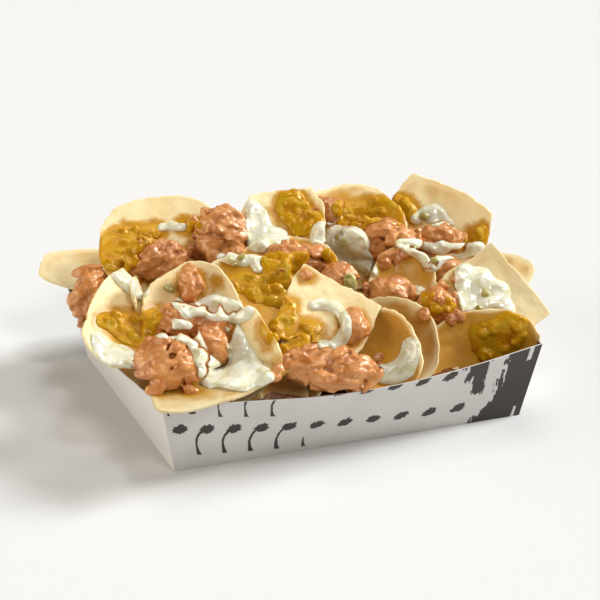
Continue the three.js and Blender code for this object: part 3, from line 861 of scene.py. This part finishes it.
# The rings of loose chips: how far out, how many, and how high above the core.
FILL_RINGS = ((0.9, 24, 4), (0.66, 14, 7), (0.36, 8, 7))
FRONT_DROP = 5
LEAST_FILL = 9
fill_rng = np.random.default_rng(FILL_SEED)
spots = []
for ring, count, above in FILL_RINGS:
    for k in range(count):
        angle = (k + fill_rng.uniform(-FILL_STRAY, FILL_STRAY)) / count * 2 * math.pi
        spots.append((ring, angle, above))
fill_chips = []
for ring, angle, above in spots:
    c, s = math.cos(angle), math.sin(angle)
    squared = (c**FILL_SQUARE + s**FILL_SQUARE) ** (-1 / FILL_SQUARE)
    x, y = FILL_HALF[0] * ring * squared * c, FILL_HALF[1] * ring * squared * s
    outward = math.degrees(math.atan2(x / FILL_HALF[0], -y / FILL_HALF[1]))
    front = max(math.cos(math.radians(outward)), 0)
    z = core_height(x, y) + above * fill_rng.uniform(0.7, 1.1) - front * FRONT_DROP
    fill_chips.append(
        dict(
            at=(x, y, z),
            facing=outward + fill_rng.uniform(-50, 50),
            lean=fill_rng.uniform(35, 72),
            spin=fill_rng.uniform(-90, 90),
            wide=fill_rng.uniform(17, 24),
            tall=fill_rng.uniform(17, 25),
            bend=fill_rng.uniform(-0.3, 0.6),
            corners=int(fill_rng.integers(3, 6)),
            sharp=fill_rng.uniform(0, 0.9),
            seed=int(fill_rng.integers(1000)),
            # The loose chips beneath are darkened by glaze and tone as painted shade under the pile.
            glaze=0.85,
            tone=0.8,
        )
    )
beneath, beneath_shapes = [], []
for chip in fill_chips:
    made = add_object("beneath", chip_mesh(chip, 7, 36, fine=True))
    cut(made)
    add_cutter(chip_mesh(chip, 5, 24, grow=FILL_CLEARANCE))
    low, high = box_of(made.data)
    if (high - low).max() > LEAST_FILL:
        beneath.append(made)
        beneath_shapes.append(chip)

# ---------------------------------------------------------------- sauces

CELL = 0.6
STEP_BETWEEN_LAYERS = 3.8
LEAST_LAYER = 12
LEAST_POINTS = 9
BLOB_FALL = 1.4
BLOB_MARGIN = 1.3
LEAST_LEVEL = 0.15
POUR_DEPTH = 13
POUR_ABOVE = 4.0
BUMP_THROUGH = 1.5
LEVEL_START, LEVEL_RANGE = 0.36, 0.75
COVER_START, COVER_RANGE = 0.3, 0.35
OWN_SHARE, EASED_SHARE = 0.45, 0.55
SAUCE_DIP = 0.3
SAUCE_LIFT = 0.15
SAUCE_ROOT = 0.6
SWELL_POWER = 0.65
SWELL_EVEN = 0.8
SWELL_UNEVEN = (0.35, 7)
LUMP_SHAPE = ((0.5, 0.9), (0.28, 0.45))
LUMP_LUMPY = 0.25
LUMP_REACH = 0.25
LUMP_SINK = 0.1
SAUCE_VOXEL = 0.58
pile = Pile(chips + meats + beneath + [core])


def blurred(grid, sigma):
    reach = max(1, int(3 * sigma))
    kernel = np.exp(-0.5 * (np.arange(-reach, reach + 1) / sigma) ** 2)
    kernel /= kernel.sum()
    for axis in (0, 1):
        padded = np.pad(grid, [(reach, reach) if a == axis else (0, 0) for a in (0, 1)], mode="edge")
        total = 0
        for k, weight in enumerate(kernel):
            span = [slice(None), slice(None)]
            span[axis] = slice(k, k + grid.shape[axis])
            total = total + weight * padded[tuple(span)]
        grid = total
    return grid


def layers_of(ground):
    """Numbers the parts of a grid of heights that have no step between neighbours, -1 where empty."""
    held = np.isfinite(ground)
    height = np.where(held, ground, 0)
    label = np.where(held, np.arange(ground.size).reshape(ground.shape), -1)
    before = None
    while before is None or (label != before).any():
        before = label.copy()
        for axis in (0, 1):
            a = tuple(slice(0, -1) if k == axis else slice(None) for k in (0, 1))
            b = tuple(slice(1, None) if k == axis else slice(None) for k in (0, 1))
            linked = held[a] & held[b] & (np.abs(height[a] - height[b]) < STEP_BETWEEN_LAYERS)
            low = np.minimum(label[a], label[b])
            label[a] = np.where(linked, low, label[a])
            label[b] = np.where(linked, np.minimum(low, label[b]), label[b])
    return label


def ground_under(axes, at, gx, gy, wanted):
    """How high the pile stands under the wanted places of a grid, and no number elsewhere."""
    ground = np.full(gx.shape, np.nan)
    down = Vector(-axes[2])
    above = POUR_DEPTH + POUR_ABOVE
    for i, j in zip(*np.nonzero(wanted)):
        origin = Vector(np.array([gx[i, j], gy[i, j], above]) @ axes + at)
        hit = pile.tree().ray_cast(origin, down, above + POUR_DEPTH)
        if hit[0] is not None:
            ground[i, j] = above - hit[3]
    return ground


def settled(ground, level, ease):
    """A sauce's base and reach on a grid, layer by layer, and the layer of each place."""
    layers = layers_of(ground)
    valid = np.isfinite(ground)
    filled = np.where(valid, ground, 0)
    steady, reach = np.zeros_like(level), np.zeros_like(level)
    for number in np.unique(layers[layers >= 0]):
        own = layers == number
        if own.sum() < LEAST_LAYER:
            layers[own] = -1
            continue
        share = blurred(own.astype(float), ease / CELL)
        eased = blurred(np.where(own, ground, 0), ease / CELL) / np.maximum(share, 1e-3)
        held = own | (valid & (filled > eased + BUMP_THROUGH))
        cover = np.clip((blurred(held.astype(float), ease / CELL) - COVER_START) / COVER_RANGE, 0, 1)
        here = np.clip((level - LEVEL_START) / LEVEL_RANGE, 0, 1) * cover
        steady[own] = np.maximum(filled * OWN_SHARE + eased * EASED_SHARE, filled - SAUCE_DIP)[own]
        reach[own] = here[own]
    return filled, steady, reach, layers


def sheet(inside, layers):
    """The faces of a closed sheet over the cells within one layer, and the places that it uses."""
    cells = inside[:-1, :-1] & inside[1:, :-1] & inside[:-1, 1:] & inside[1:, 1:]
    for other in (layers[1:, :-1], layers[:-1, 1:], layers[1:, 1:]):
        cells &= layers[:-1, :-1] == other
    used = np.zeros_like(inside)
    for di in (0, 1):
        for dj in (0, 1):
            used[di : di + cells.shape[0], dj : dj + cells.shape[1]] |= cells
    count = int(used.sum())
    index = np.full(inside.shape, -1)
    index[used] = np.arange(count)
    faces, edges = [], {}
    for i, j in zip(*np.nonzero(cells)):
        q = [int(index[i, j]), int(index[i + 1, j]), int(index[i + 1, j + 1]), int(index[i, j + 1])]
        faces.append(q)
        faces.append([v + count for v in q[::-1]])
        for a, b in zip(q, q[1:] + q[:1]):
            if edges.pop((b, a), None) is None:
                edges[(a, b)] = True
    faces.extend([[b, a, a + count, b + count] for a, b in edges])
    return faces, used


def drape(name, piece, spread, ease, smooth, lumps=None):
    """A sauce poured on what lies under it."""
    axes, at = face_frame(piece)
    blobs = np.array([(x, y, radius * spread) for x, y, radius in piece["blobs"]], float)
    low = (blobs[:, :2] - blobs[:, 2:] * BLOB_MARGIN).min(0)
    high = (blobs[:, :2] + blobs[:, 2:] * BLOB_MARGIN).max(0)
    xs, ys = (np.arange(low[axis], high[axis] + CELL, CELL) for axis in (0, 1))
    gx, gy = np.meshgrid(xs, ys, indexing="ij")
    level = np.zeros_like(gx)
    for bx, by, br in blobs:
        level += np.exp(-BLOB_FALL * ((gx - bx) ** 2 + (gy - by) ** 2) / br**2)
    ground = ground_under(axes, at, gx, gy, level > LEAST_LEVEL)
    filled, steady, reach, layers = settled(ground, level, ease)
    uneven = rough(np.stack([gx.ravel(), gy.ravel(), np.full(gx.size, at[0])], -1), *SWELL_UNEVEN)
    swell = piece["thick"] * reach**SWELL_POWER * (SWELL_EVEN + uneven.reshape(gx.shape))
    top = steady + swell + SAUCE_LIFT
    base = np.minimum(filled, steady) - SAUCE_ROOT
    faces, used = sheet(reach > 0, layers)
    if used.sum() < LEAST_POINTS:
        return None
    points = np.concatenate([np.column_stack([gx[used], gy[used], face[used]]) for face in (top, base)])
    parts = [(points @ axes + at, faces)]
    if lumps:
        rng = np.random.default_rng(lumps["seed"])
        spots = np.argwhere(used & (reach > LUMP_REACH))
        for _ in range(lumps["count"]):
            i, j = spots[rng.integers(len(spots))]
            dims = rng.uniform(*lumps["size"]) * np.array([1.0, *sizes_from(rng, LUMP_SHAPE)])
            turn = rng.uniform(0, math.pi)
            c, s = math.cos(turn), math.sin(turn)
            flat_axes = np.array([[c, s, 0], [-s, c, 0], [0, 0, 1.0]])
            centre = np.array([gx[i, j], gy[i, j], top[i, j] - LUMP_SINK * dims[2]]) @ axes + at
            parts.append(ball(centre, dims, flat_axes @ axes, LUMP_LUMPY, rng.integers(99), 5, 8))
    return melted(name, parts, SAUCE_VOXEL, smooth)


RELISH_SPREAD = 1.16
RELISH_EASE = 1.6
RELISH_SEED = 400
AREA_A_LUMP = 18
LUMP_SIZE = (3.5, 8.0)
CREAM_SPREAD = 1.12
CREAM_EASE = 2.4
relishes, creams = [], []
for i, piece in enumerate(RELISH):
    covered = sum((radius * RELISH_SPREAD) ** 2 for _, _, radius in piece["blobs"])
    lumps = dict(seed=RELISH_SEED + i, count=int(covered / AREA_A_LUMP), size=LUMP_SIZE)
    name = "relish_" + piece["name"] + "_jelly"
    relishes.append(drape(name, piece, RELISH_SPREAD, RELISH_EASE, 3, lumps))
for obj in relishes:
    pile.add(obj)
for piece in CREAM:
    creams.append(drape("cream_" + piece["name"] + "_sauce", piece, CREAM_SPREAD, CREAM_EASE, 2))

# ---------------------------------------------------------------- small bits

MIDDLE = (0.65, 0, 44.3)
# Pieces of pickled pepper: right and up of the middle along the view, and how wide. Millimetres.
PEPPER = [
    (-59, 6, 6.5), (-40, -1.5, 5), (23, 8.5, 5.5), (-76, 8, 3), (-83, -25, 3), (-27.5, 20, 3.2),
    (-18, -32, 3.6), (21, 28, 3), (60.5, 41.5, 3), (87, 3, 3.2), (44, -29, 4), (-90, -29, 2.6),
    (-29, -21, 2.2), (-62, 3, 4), (-80, 4, 2.4), (-30, 17, 2.6), (18, 30, 2.2), (64, 19, 2.6),
    (-36, -14, 2.4), (10, -17, 2.4), (84, -4, 2.4),
]
PEPPER_GROWN = 1.4
PEPPER_FLAT = 0.5
CRUMB_SIZE = (1.5, 2.8)
CRUMB_AWAY = 0.24
CRUMB_FLAT = 0.55
BIT_SHAPE = ((0.9, 1.4), (0.6, 1))
BIT_RISE = 0.3
BIT_TO_VIEW = 0.8
BIT_VOXEL = 0.3
BITS_SEED = 61
cream_ground = Pile(chips + meats + relishes)
for obj in creams:
    pile.add(obj)
bits_rng = np.random.default_rng(BITS_SEED)


def bits(name, places, flat):
    """Small lumps that lie where they land, as one piece."""
    parts = []
    for right, up, wide in places:
        landed = dropped(pile, MIDDLE, right, up)
        if landed is None:
            continue
        dims = wide * np.array([*sizes_from(bits_rng, BIT_SHAPE), flat])
        outward = scaled_to_one(landed[1] + BIT_TO_VIEW * POUR_AXES[2])
        centre = landed[0] + outward * dims[2] * BIT_RISE
        parts.append(chunk(bits_rng, centre, dims, bits_rng.normal(size=3), outward))
    return melted(name, parts, BIT_VOXEL, 1)


pepper = bits("pepper_bits", [(right, up, wide * PEPPER_GROWN) for right, up, wide in PEPPER], PEPPER_FLAT)
crumb_places = []
for piece in MEAT:
    out = np.asarray(piece["at"], float) - MIDDLE
    aside = bits_rng.normal(size=2) * max(piece["size"]) * CRUMB_AWAY
    right, up = out @ POUR_AXES[0] + aside[0], out @ POUR_AXES[1] + aside[1]
    crumb_places.append((right, up, bits_rng.uniform(*CRUMB_SIZE)))
crumbs = bits("meat_crumbs", crumb_places, CRUMB_FLAT)

# ---------------------------------------------------------------- materials


class Num:
    """A shader value that adds, multiplies and compares as a number does."""

    def __init__(self, look, socket):
        self.look, self.socket = look, socket

    def made(self, kind, *values):
        return Num(self.look, self.look.node("Math", *values, operation=kind).outputs[0])

    def length(self, other):
        return (self * self + other * other).root()

    def step(self, low, high):
        """0 below low to 1 above high."""
        made = self.look.node("MapRange", self, low, high, interpolation_type="SMOOTHSTEP")
        return Num(self.look, made.outputs[0])


def worked_out(kind, swapped=False):
    """A method of Num that does one sum in the shader."""

    def method(self, *others):
        return self.made(kind, *others, self) if swapped else self.made(kind, self, *others)

    return method


SUMS = dict(
    __add__="ADD", __radd__="ADD", __sub__="SUBTRACT", __mul__="MULTIPLY", __rmul__="MULTIPLY",
    __truediv__="DIVIDE", __abs__="ABSOLUTE", __gt__="GREATER_THAN", __lt__="LESS_THAN",
    rounded="ROUND", root="SQRT", most="MAXIMUM", least="MINIMUM",
)
for name, kind in SUMS.items():
    setattr(Num, name, worked_out(kind))
Num.__rsub__ = worked_out("SUBTRACT", swapped=True)


class Look:
    """A material under the making: its node tree and its main shader."""

    def __init__(self, name):
        self.material = bpy.data.materials.new(name)
        self.material.use_nodes = True
        self.tree = self.material.node_tree
        self.shader = self.tree.nodes["Principled BSDF"]
        self.place = self.node("TexCoord").outputs["Object"]

    def node(self, kind, *values, **settings):
        """A new node with its settings made and its first sockets filled."""
        made = self.tree.nodes.new("ShaderNode" + kind)
        for key, value in settings.items():
            setattr(made, key, value)
        for socket, value in zip(made.inputs, values):
            self.fill(socket, value)
        return made

    def fill(self, socket, value):
        value = value.socket if isinstance(value, Num) else value
        if isinstance(value, bpy.types.NodeSocket):
            self.tree.links.new(value, socket)
        elif isinstance(value, tuple) and socket.type == "RGBA":
            socket.default_value = (*value, 1)
        else:
            socket.default_value = value

    def set(self, **values):
        for key, value in values.items():
            self.fill(self.shader.inputs[key.replace("_", " ")], value)

    def flesh(self, weight, scale, radius):
        """How much light passes through, how far in metres, and each colour's share of that."""
        self.set(Subsurface_Weight=weight, Subsurface_Scale=scale, Subsurface_Radius=radius)

    def noise(self, size, detail=2.0, place=None, rough=0.5):
        """Noise whose swells are about size millimetres across."""
        made = self.node("TexNoise", place or self.place)
        made.inputs["Scale"].default_value = 1 / (size * MM)
        made.inputs["Detail"].default_value = detail
        made.inputs["Roughness"].default_value = rough
        return Num(self, made.outputs["Fac"])

    def ramp(self, value, *stops):
        made = self.node("ValToRGB", value)
        points = made.color_ramp.elements
        while len(points) < len(stops):
            points.new(0.5)
        for point, (place, colour) in zip(points, stops):
            point.position = place
            point.color = (*colour, 1)
        return made.outputs[0]

    def mix(self, share, a, b, kind="MIX"):
        made = self.node("Mix", share, data_type="RGBA", blend_type=kind)
        self.fill(made.inputs[6], a)
        self.fill(made.inputs[7], b)
        return made.outputs[2]

    def attribute(self, name):
        return Num(self, self.node("Attribute", attribute_name=name).outputs["Fac"])

    def bump(self, height, depth):
        made = self.node("Bump")
        made.inputs["Strength"].default_value = 1.0
        made.inputs["Distance"].default_value = depth * MM
        self.fill(made.inputs["Height"], height)
        self.set(Normal=made.outputs[0])


def chip_look():
    look = Look("corn_chip")
    broad, mottle, speck = look.noise(17, 2), look.noise(3.5, 4, rough=0.6), look.noise(1.1, 2)
    wet, rim, glaze = (look.attribute(name) for name in ("wet", "rim", "glaze"))
    # Soaked darkens chips near meat and relish: partly sauce soaked in, partly painted shade where they meet.
    soaked = (wet + (mottle - 0.5) * 0.8 - rim * 0.4).step(0.25, 0.8)
    # Glazed darkens by each chip's glaze: partly sauce glaze, partly painted shade.
    glazed = (glaze + (broad - 0.5) * 1.2 - rim * 0.75).step(0.3, 0.95)
    base = look.ramp(broad, (0.35, (0.92, 0.78, 0.45)), (0.65, (0.88, 0.69, 0.35)))
    base = look.mix(mottle.step(0.52, 0.78) * 0.6, base, (0.80, 0.55, 0.22))
    base = look.mix(speck.step(0.70, 0.78) * 0.5, base, (0.25, 0.13, 0.04))
    base = look.mix(glazed, base, (0.58, 0.29, 0.035))
    base = look.mix(soaked, base, (0.60, 0.30, 0.025))
    # Tone multiplies the colour: partly each chip's bake, partly painted shade.
    base = look.mix(1.0, base, look.attribute("tone"), "MULTIPLY")
    look.set(Base_Color=base, Roughness=0.6 - soaked * 0.34, Specular_IOR_Level=0.3)
    look.flesh(0.15, 0.002, (1.0, 0.55, 0.2))
    look.bump(look.noise(0.8, 3) * 0.5 + mottle * 1.4, 0.18)
    return look.material


def meat_look(name="shredded_meat", pale=(0.70, 0.31, 0.095), deep=(0.45, 0.145, 0.028)):
    look = Look(name)
    stretched = look.node("VectorMath", look.place, (0.3, 0.8, 1.0), operation="MULTIPLY")
    broad, fine = look.noise(9, 2), look.noise(1.2, 3, stretched.outputs[0])
    base = look.ramp(broad, (0.3, deep), (0.7, pale))
    base = look.mix(fine.step(0.5, 0.75) * 0.4, base, (0.80, 0.42, 0.17))
    # Painted shade: darker in the hollows between the chunks.
    base = look.mix(look.attribute("hollow").step(0.1, 1.2) * 0.75, base, (0.17, 0.035, 0.005))
    look.set(Base_Color=base, Roughness=fine * 0.18 + 0.06)
    look.set(Specular_IOR_Level=0.8, Specular_Tint=(1.0, 0.9, 0.76))
    look.flesh(0.15, 0.0012, (1.0, 0.4, 0.2))
    look.bump(fine * 2.0 + look.noise(0.6, 2), 0.16)
    return look.material


def relish_look():
    look = Look("relish")
    broad, fine = look.noise(7, 2), look.noise(1.6, 2)
    amber, gold, green = (0.42, 0.17, 0.001), (0.58, 0.28, 0.002), (0.50, 0.30, 0.004)
    base = look.ramp(broad, (0.3, amber), (0.5, gold), (0.72, green))
    base = look.mix(fine.step(0.55, 0.75) * 0.3, base, (0.78, 0.55, 0.08))
    # Painted shade: darker in the hollows of the relish.
    base = look.mix(look.attribute("hollow").step(-0.05, 0.4) * 0.6, base, (0.34, 0.12, 0.001))
    look.set(Base_Color=base, Roughness=0.06, Specular_IOR_Level=0.6, Specular_Tint=(1.0, 0.84, 0.4))
    look.flesh(0.3, 0.002, (1.0, 0.5, 0.03))
    look.bump(fine + look.noise(0.9, 2), 0.24)
    return look.material


def cream_look():
    look = Look("cream_sauce")
    base = look.ramp(look.noise(7, 2), (0.3, (0.74, 0.72, 0.54)), (0.7, (0.83, 0.82, 0.68)))
    base = look.mix(look.noise(4.5, 3).step(0.5, 0.64) * 0.5, base, (0.58, 0.53, 0.19))
    base = look.mix(look.noise(1.5, 2).step(0.7, 0.76) * 0.6, base, (0.30, 0.29, 0.07))
    base = look.mix(look.attribute("near").step(0.5, 1.0) * 0.5, base, (0.74, 0.60, 0.34))
    look.set(Base_Color=base, Roughness=0.08, Specular_IOR_Level=0.8)
    look.flesh(0.3, 0.002, (1.0, 0.8, 0.5))
    look.bump(look.noise(2.2, 2), 0.2)
    return look.material


def green_look():
    look = Look("green_bits")
    base = look.ramp(look.noise(3, 2), (0.3, (0.34, 0.29, 0.07)), (0.7, (0.50, 0.44, 0.16)))
    look.set(Base_Color=base, Subsurface_Weight=0.2, Subsurface_Scale=0.001)
    look.set(Roughness=0.15, Specular_IOR_Level=0.5)
    look.bump(look.noise(1.0, 2), 0.15)
    return look.material


PRINT_LENGTH = 175
MARK_HEIGHT = 24.2
MARK_FALL = 0.088
MARK_TURN = 28
MARK_HALF = (3.4, 2.2)
TAIL_MIDDLE = (2.5, -10.5)
TAIL_RADII = (8.2, 11.5)
TAIL_WIDTH = 0.6
TAIL_FOOT = -15.3
ROW_RISE = 22.9
HALF = 0.5


def turned(x, y, angle):
    """x and y in axes turned by an angle in degrees."""
    c, k = math.cos(math.radians(angle)), math.sin(math.radians(angle))
    return x * c + y * k, y * c - x * k


def printed(look, along, up):
    """The ink on a long wall: rows of brushed dots, the first with tails, and a brushed end."""
    u, h = along * PRINT_LENGTH, up * WALL_SLANT
    flat = look.node("CombineXYZ", u * MM, h * MM).outputs[0]
    rough = look.noise(1.3, 3, flat) - 0.5
    coarse = look.noise(3.2, 2, flat) - 0.5

    def among(index, low, high):
        return (index > low - 0.01) * (index < high + 0.01)

    def marks(start, pitch, spread, rise, first, tailed, thin, last):
        """One row of marks: 1 to tailed have long tails, thin has a faint one, and the rest none."""
        place = ((u - start) * (4 * spread) + pitch**2).most(0.0).root()
        index = ((place - pitch) / (2 * spread)).rounded()
        dx = u - (index * pitch + index * index * spread + start)
        dy = h - (MARK_HEIGHT + rise) + u * MARK_FALL
        x, y = turned(dx, dy, MARK_TURN)
        blot = 1.15 - (x / MARK_HALF[0]).length(y / MARK_HALF[1]) + rough * 1.2 + coarse * 0.8
        reach = ((dx - TAIL_MIDDLE[0]) / TAIL_RADII[0]).length((dy - TAIL_MIDDLE[1]) / TAIL_RADII[1])
        ring = abs(reach - 1) * TAIL_RADII[0]
        stroke = TAIL_WIDTH - (dy + 8.0).least(0.0) * 0.11 + rough * 0.9 - ring
        stroke = stroke * (dy > TAIL_FOOT) * (dx < 0.5)
        row = (blot * among(index, first, last)).most(stroke * among(index, 1, tailed))
        return row.most((stroke - 0.35) * among(index, thin, thin) * (dy < -8.5))

    lower, upper = marks(5.9, 11.6, 0.175, 0.0, 0, 4, 5, 10), marks(17.6, 10.9, 0.16, ROW_RISE, 1, 3, -1, 9)
    spot = 1 - ((u - 12.2) / 1.5).length((h - 33.0) / 1.2) + rough
    ink = lower.most(upper).most(spot)
    brushed = look.node("CombineXYZ", u * MM + h * (0.15 * MM), h * (0.32 * MM)).outputs[0]
    streak = look.noise(3.0, 3, brushed, 0.6) - 0.5
    patch = (u - 136 - (36 - h) * 0.5).least(148.5 - u).least(h - 19) * 0.22
    solid = (u - 157 + (13 - h).most(0.0) * 0.8) * 0.22
    notch = (1 - abs(u - 170) / 3.2).least((h - 30) * 0.4)
    foot = (1 - abs(u - 171) / 2.5).least((7.5 - h) * 0.4)
    brush = patch.most(solid.least(1.3)) - notch.most(foot).most(0.0) * 1.9
    brush = brush + streak * 3.2 * (1.45 - solid.step(0.2, 1.7))
    return ink.step(0.0, 0.12).most(brush.step(0.0, 0.15))


def board_look():
    look = Look("printed_board")
    measures = look.node("Attribute", attribute_name="wall").outputs["Vector"]
    split = look.node("SeparateXYZ", measures)
    along, up, kind = (Num(look, split.outputs[i]) for i in range(3))
    white = look.ramp(look.noise(20, 3), (0.3, (0.63, 0.61, 0.585)), (0.7, (0.67, 0.655, 0.63)))
    # The inside of the board is dark brown: partly sauce stain, partly painted shade within the tray.
    stained = look.ramp(look.noise(9, 3), (0.3, (0.20, 0.075, 0.03)), (0.7, (0.34, 0.16, 0.07)))
    inner = (kind > INSIDE - HALF) * (kind < RIM - HALF)
    right_wall = abs(kind - 1) < HALF
    long_wall = (abs(kind - 1) > HALF) * (kind < 2 + HALF)
    end = ((0.09 - along) * 30 + (look.noise(4, 3) - 0.5) * 5).step(0.0, 0.2) * right_wall
    ink = (printed(look, along, up) * long_wall).most(end)
    base = look.mix(inner, look.mix(ink, white, (0.052, 0.043, 0.036)), stained)
    look.set(Base_Color=base, Roughness=0.5, Specular_IOR_Level=0.35)
    look.bump(look.noise(0.5, 3), 0.03)
    return look.material


materials = {
    "chip": chip_look(),
    "meat": meat_look(),
    "relish": relish_look(),
    "cream": cream_look(),
    "tray": board_look(),
    # The bed's dark colours are painted shade for the dark gaps deep in the pile.
    "bed": meat_look("shadowed_bed", (0.16, 0.045, 0.01), (0.07, 0.016, 0.003)),
    "green": green_look(),
}


def finish_piece(obj, kind, node=None):
    obj.data.materials.clear()
    obj.data.materials.append(materials[kind])
    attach(obj, "root")
    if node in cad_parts:
        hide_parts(node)


def finish_lump(obj, kind, node=None):
    soften(obj.data, ROUND)
    hollows(obj.data)
    finish_piece(obj, kind, node)


WET_REACH = 6.5
THIN_REACH = 1.2
RIM_WIDTH = 3.2


def near_from(obj, others, reach, name):
    """How close each point is to other things: 1 where they touch, 0 at the reach."""
    found = [others.tree().find_nearest(Vector(point), reach)[3] for point in points_of(obj.data)]
    set_value(obj.data, name, [0 if away is None else 1 - away / reach for away in found])


def rim_from(obj, chip, sides=120):
    """How close each point of a chip is to its edge: 1 on it, 0 from the rim's width inwards."""
    angle = np.arange(sides) / sides * 2 * math.pi
    reach = outline(chip, angle)
    edge = to_world(chip, curled(chip, reach * np.cos(angle), reach * np.sin(angle)))
    near = KDTree(sides)
    for k, point in enumerate(edge):
        near.insert(point, k)
    near.balance()
    away = [near.find(point)[2] for point in points_of(obj.data)]
    set_value(obj.data, "rim", 1 - np.clip(np.array(away) / RIM_WIDTH, 0, 1))


# Closeness to meat and relish, darkened on the chips as soaked sauce and painted shade.
wet_pile = Pile(meats + relishes)
for obj, chip in zip(chips + beneath, CHIPS + beneath_shapes):
    soften(obj.data, CRISP_EDGE)
    near_from(obj, wet_pile, WET_REACH, "wet")
    rim_from(obj, chip)
    set_value(obj.data, "glaze", chip["glaze"])
    set_value(obj.data, "tone", chip["tone"])
for obj, chip in zip(chips, CHIPS):
    finish_piece(obj, "chip", "chip_" + chip["name"])
for obj, piece in zip(meats, MEAT):
    finish_lump(obj, "meat", "meat_" + piece["name"])
for obj in relishes:
    finish_lump(obj, "relish", obj.name.replace("_jelly", ""))
for obj in creams:
    soften(obj.data, ROUND)
    near_from(obj, cream_ground, THIN_REACH, "near")
    finish_piece(obj, "cream", obj.name.replace("_sauce", ""))
finish_piece(tray, "tray", "tray")
finish_lump(pepper, "green", None)
finish_lump(crumbs, "meat")
for cutter, _ in cutters:
    bpy.data.objects.remove(cutter)
with bpy.context.temp_override(active_object=beneath[0], selected_editable_objects=beneath):
    bpy.ops.object.join()
beneath[0].name = "bed_chips"
finish_piece(beneath[0], "chip", "bed")
finish_lump(core, "bed", "bed")

# ---------------------------------------------------------------- floor and light

FLOOR_HALF = 5
WORLD_STRENGTH = 0.17
floor_mesh = bpy.data.meshes.new("floor")
corners = [(x * FLOOR_HALF, y * FLOOR_HALF, 0) for x, y in ((-1, -1), (1, -1), (1, 1), (-1, 1))]
floor_mesh.from_pydata(corners, [], [(0, 1, 2, 3)])
floor = add_object("floor", floor_mesh)
paper = Look("floor")
paper.set(Base_Color=(0.70, 0.695, 0.685), Roughness=0.7, Specular_IOR_Level=0.2)
floor.data.materials.append(paper.material)

world = bpy.data.worlds.new("world")
world.use_nodes = True
world.node_tree.nodes["Background"].inputs[0].default_value = (1.0, 0.94, 0.85, 1)
world.node_tree.nodes["Background"].inputs[1].default_value = WORLD_STRENGTH
bpy.context.scene.world = world


def add_sun(name, azimuth, elevation, energy, angle, colour):
    """A far light that comes from a direction, as wide as its angle in degrees."""
    data = bpy.data.lights.new(name, "SUN")
    data.energy = energy
    data.angle = math.radians(angle)
    data.color = colour
    made = bpy.data.objects.new(name, data)
    made.rotation_mode = "QUATERNION"
    made.rotation_quaternion = direction(azimuth, elevation).to_track_quat("Z", "Y")
    bpy.context.scene.collection.objects.link(made)


add_sun("key", 88, 36, 3.4, 24, (0.97, 1.0, 1.02))
add_sun("spark", 34, 70, 0.45, 9, (1.0, 1.0, 1.0))
add_sun("front", 8, 42, 0.75, 14, (1.0, 0.99, 0.97))
add_sun("overhead", 160, 66, 0.5, 30, (1.0, 0.98, 0.95))
add_sun("fill", -98, 8, 2.4, 50, (1.0, 0.93, 0.82))

bpy.context.scene.view_settings.view_transform = "Standard"
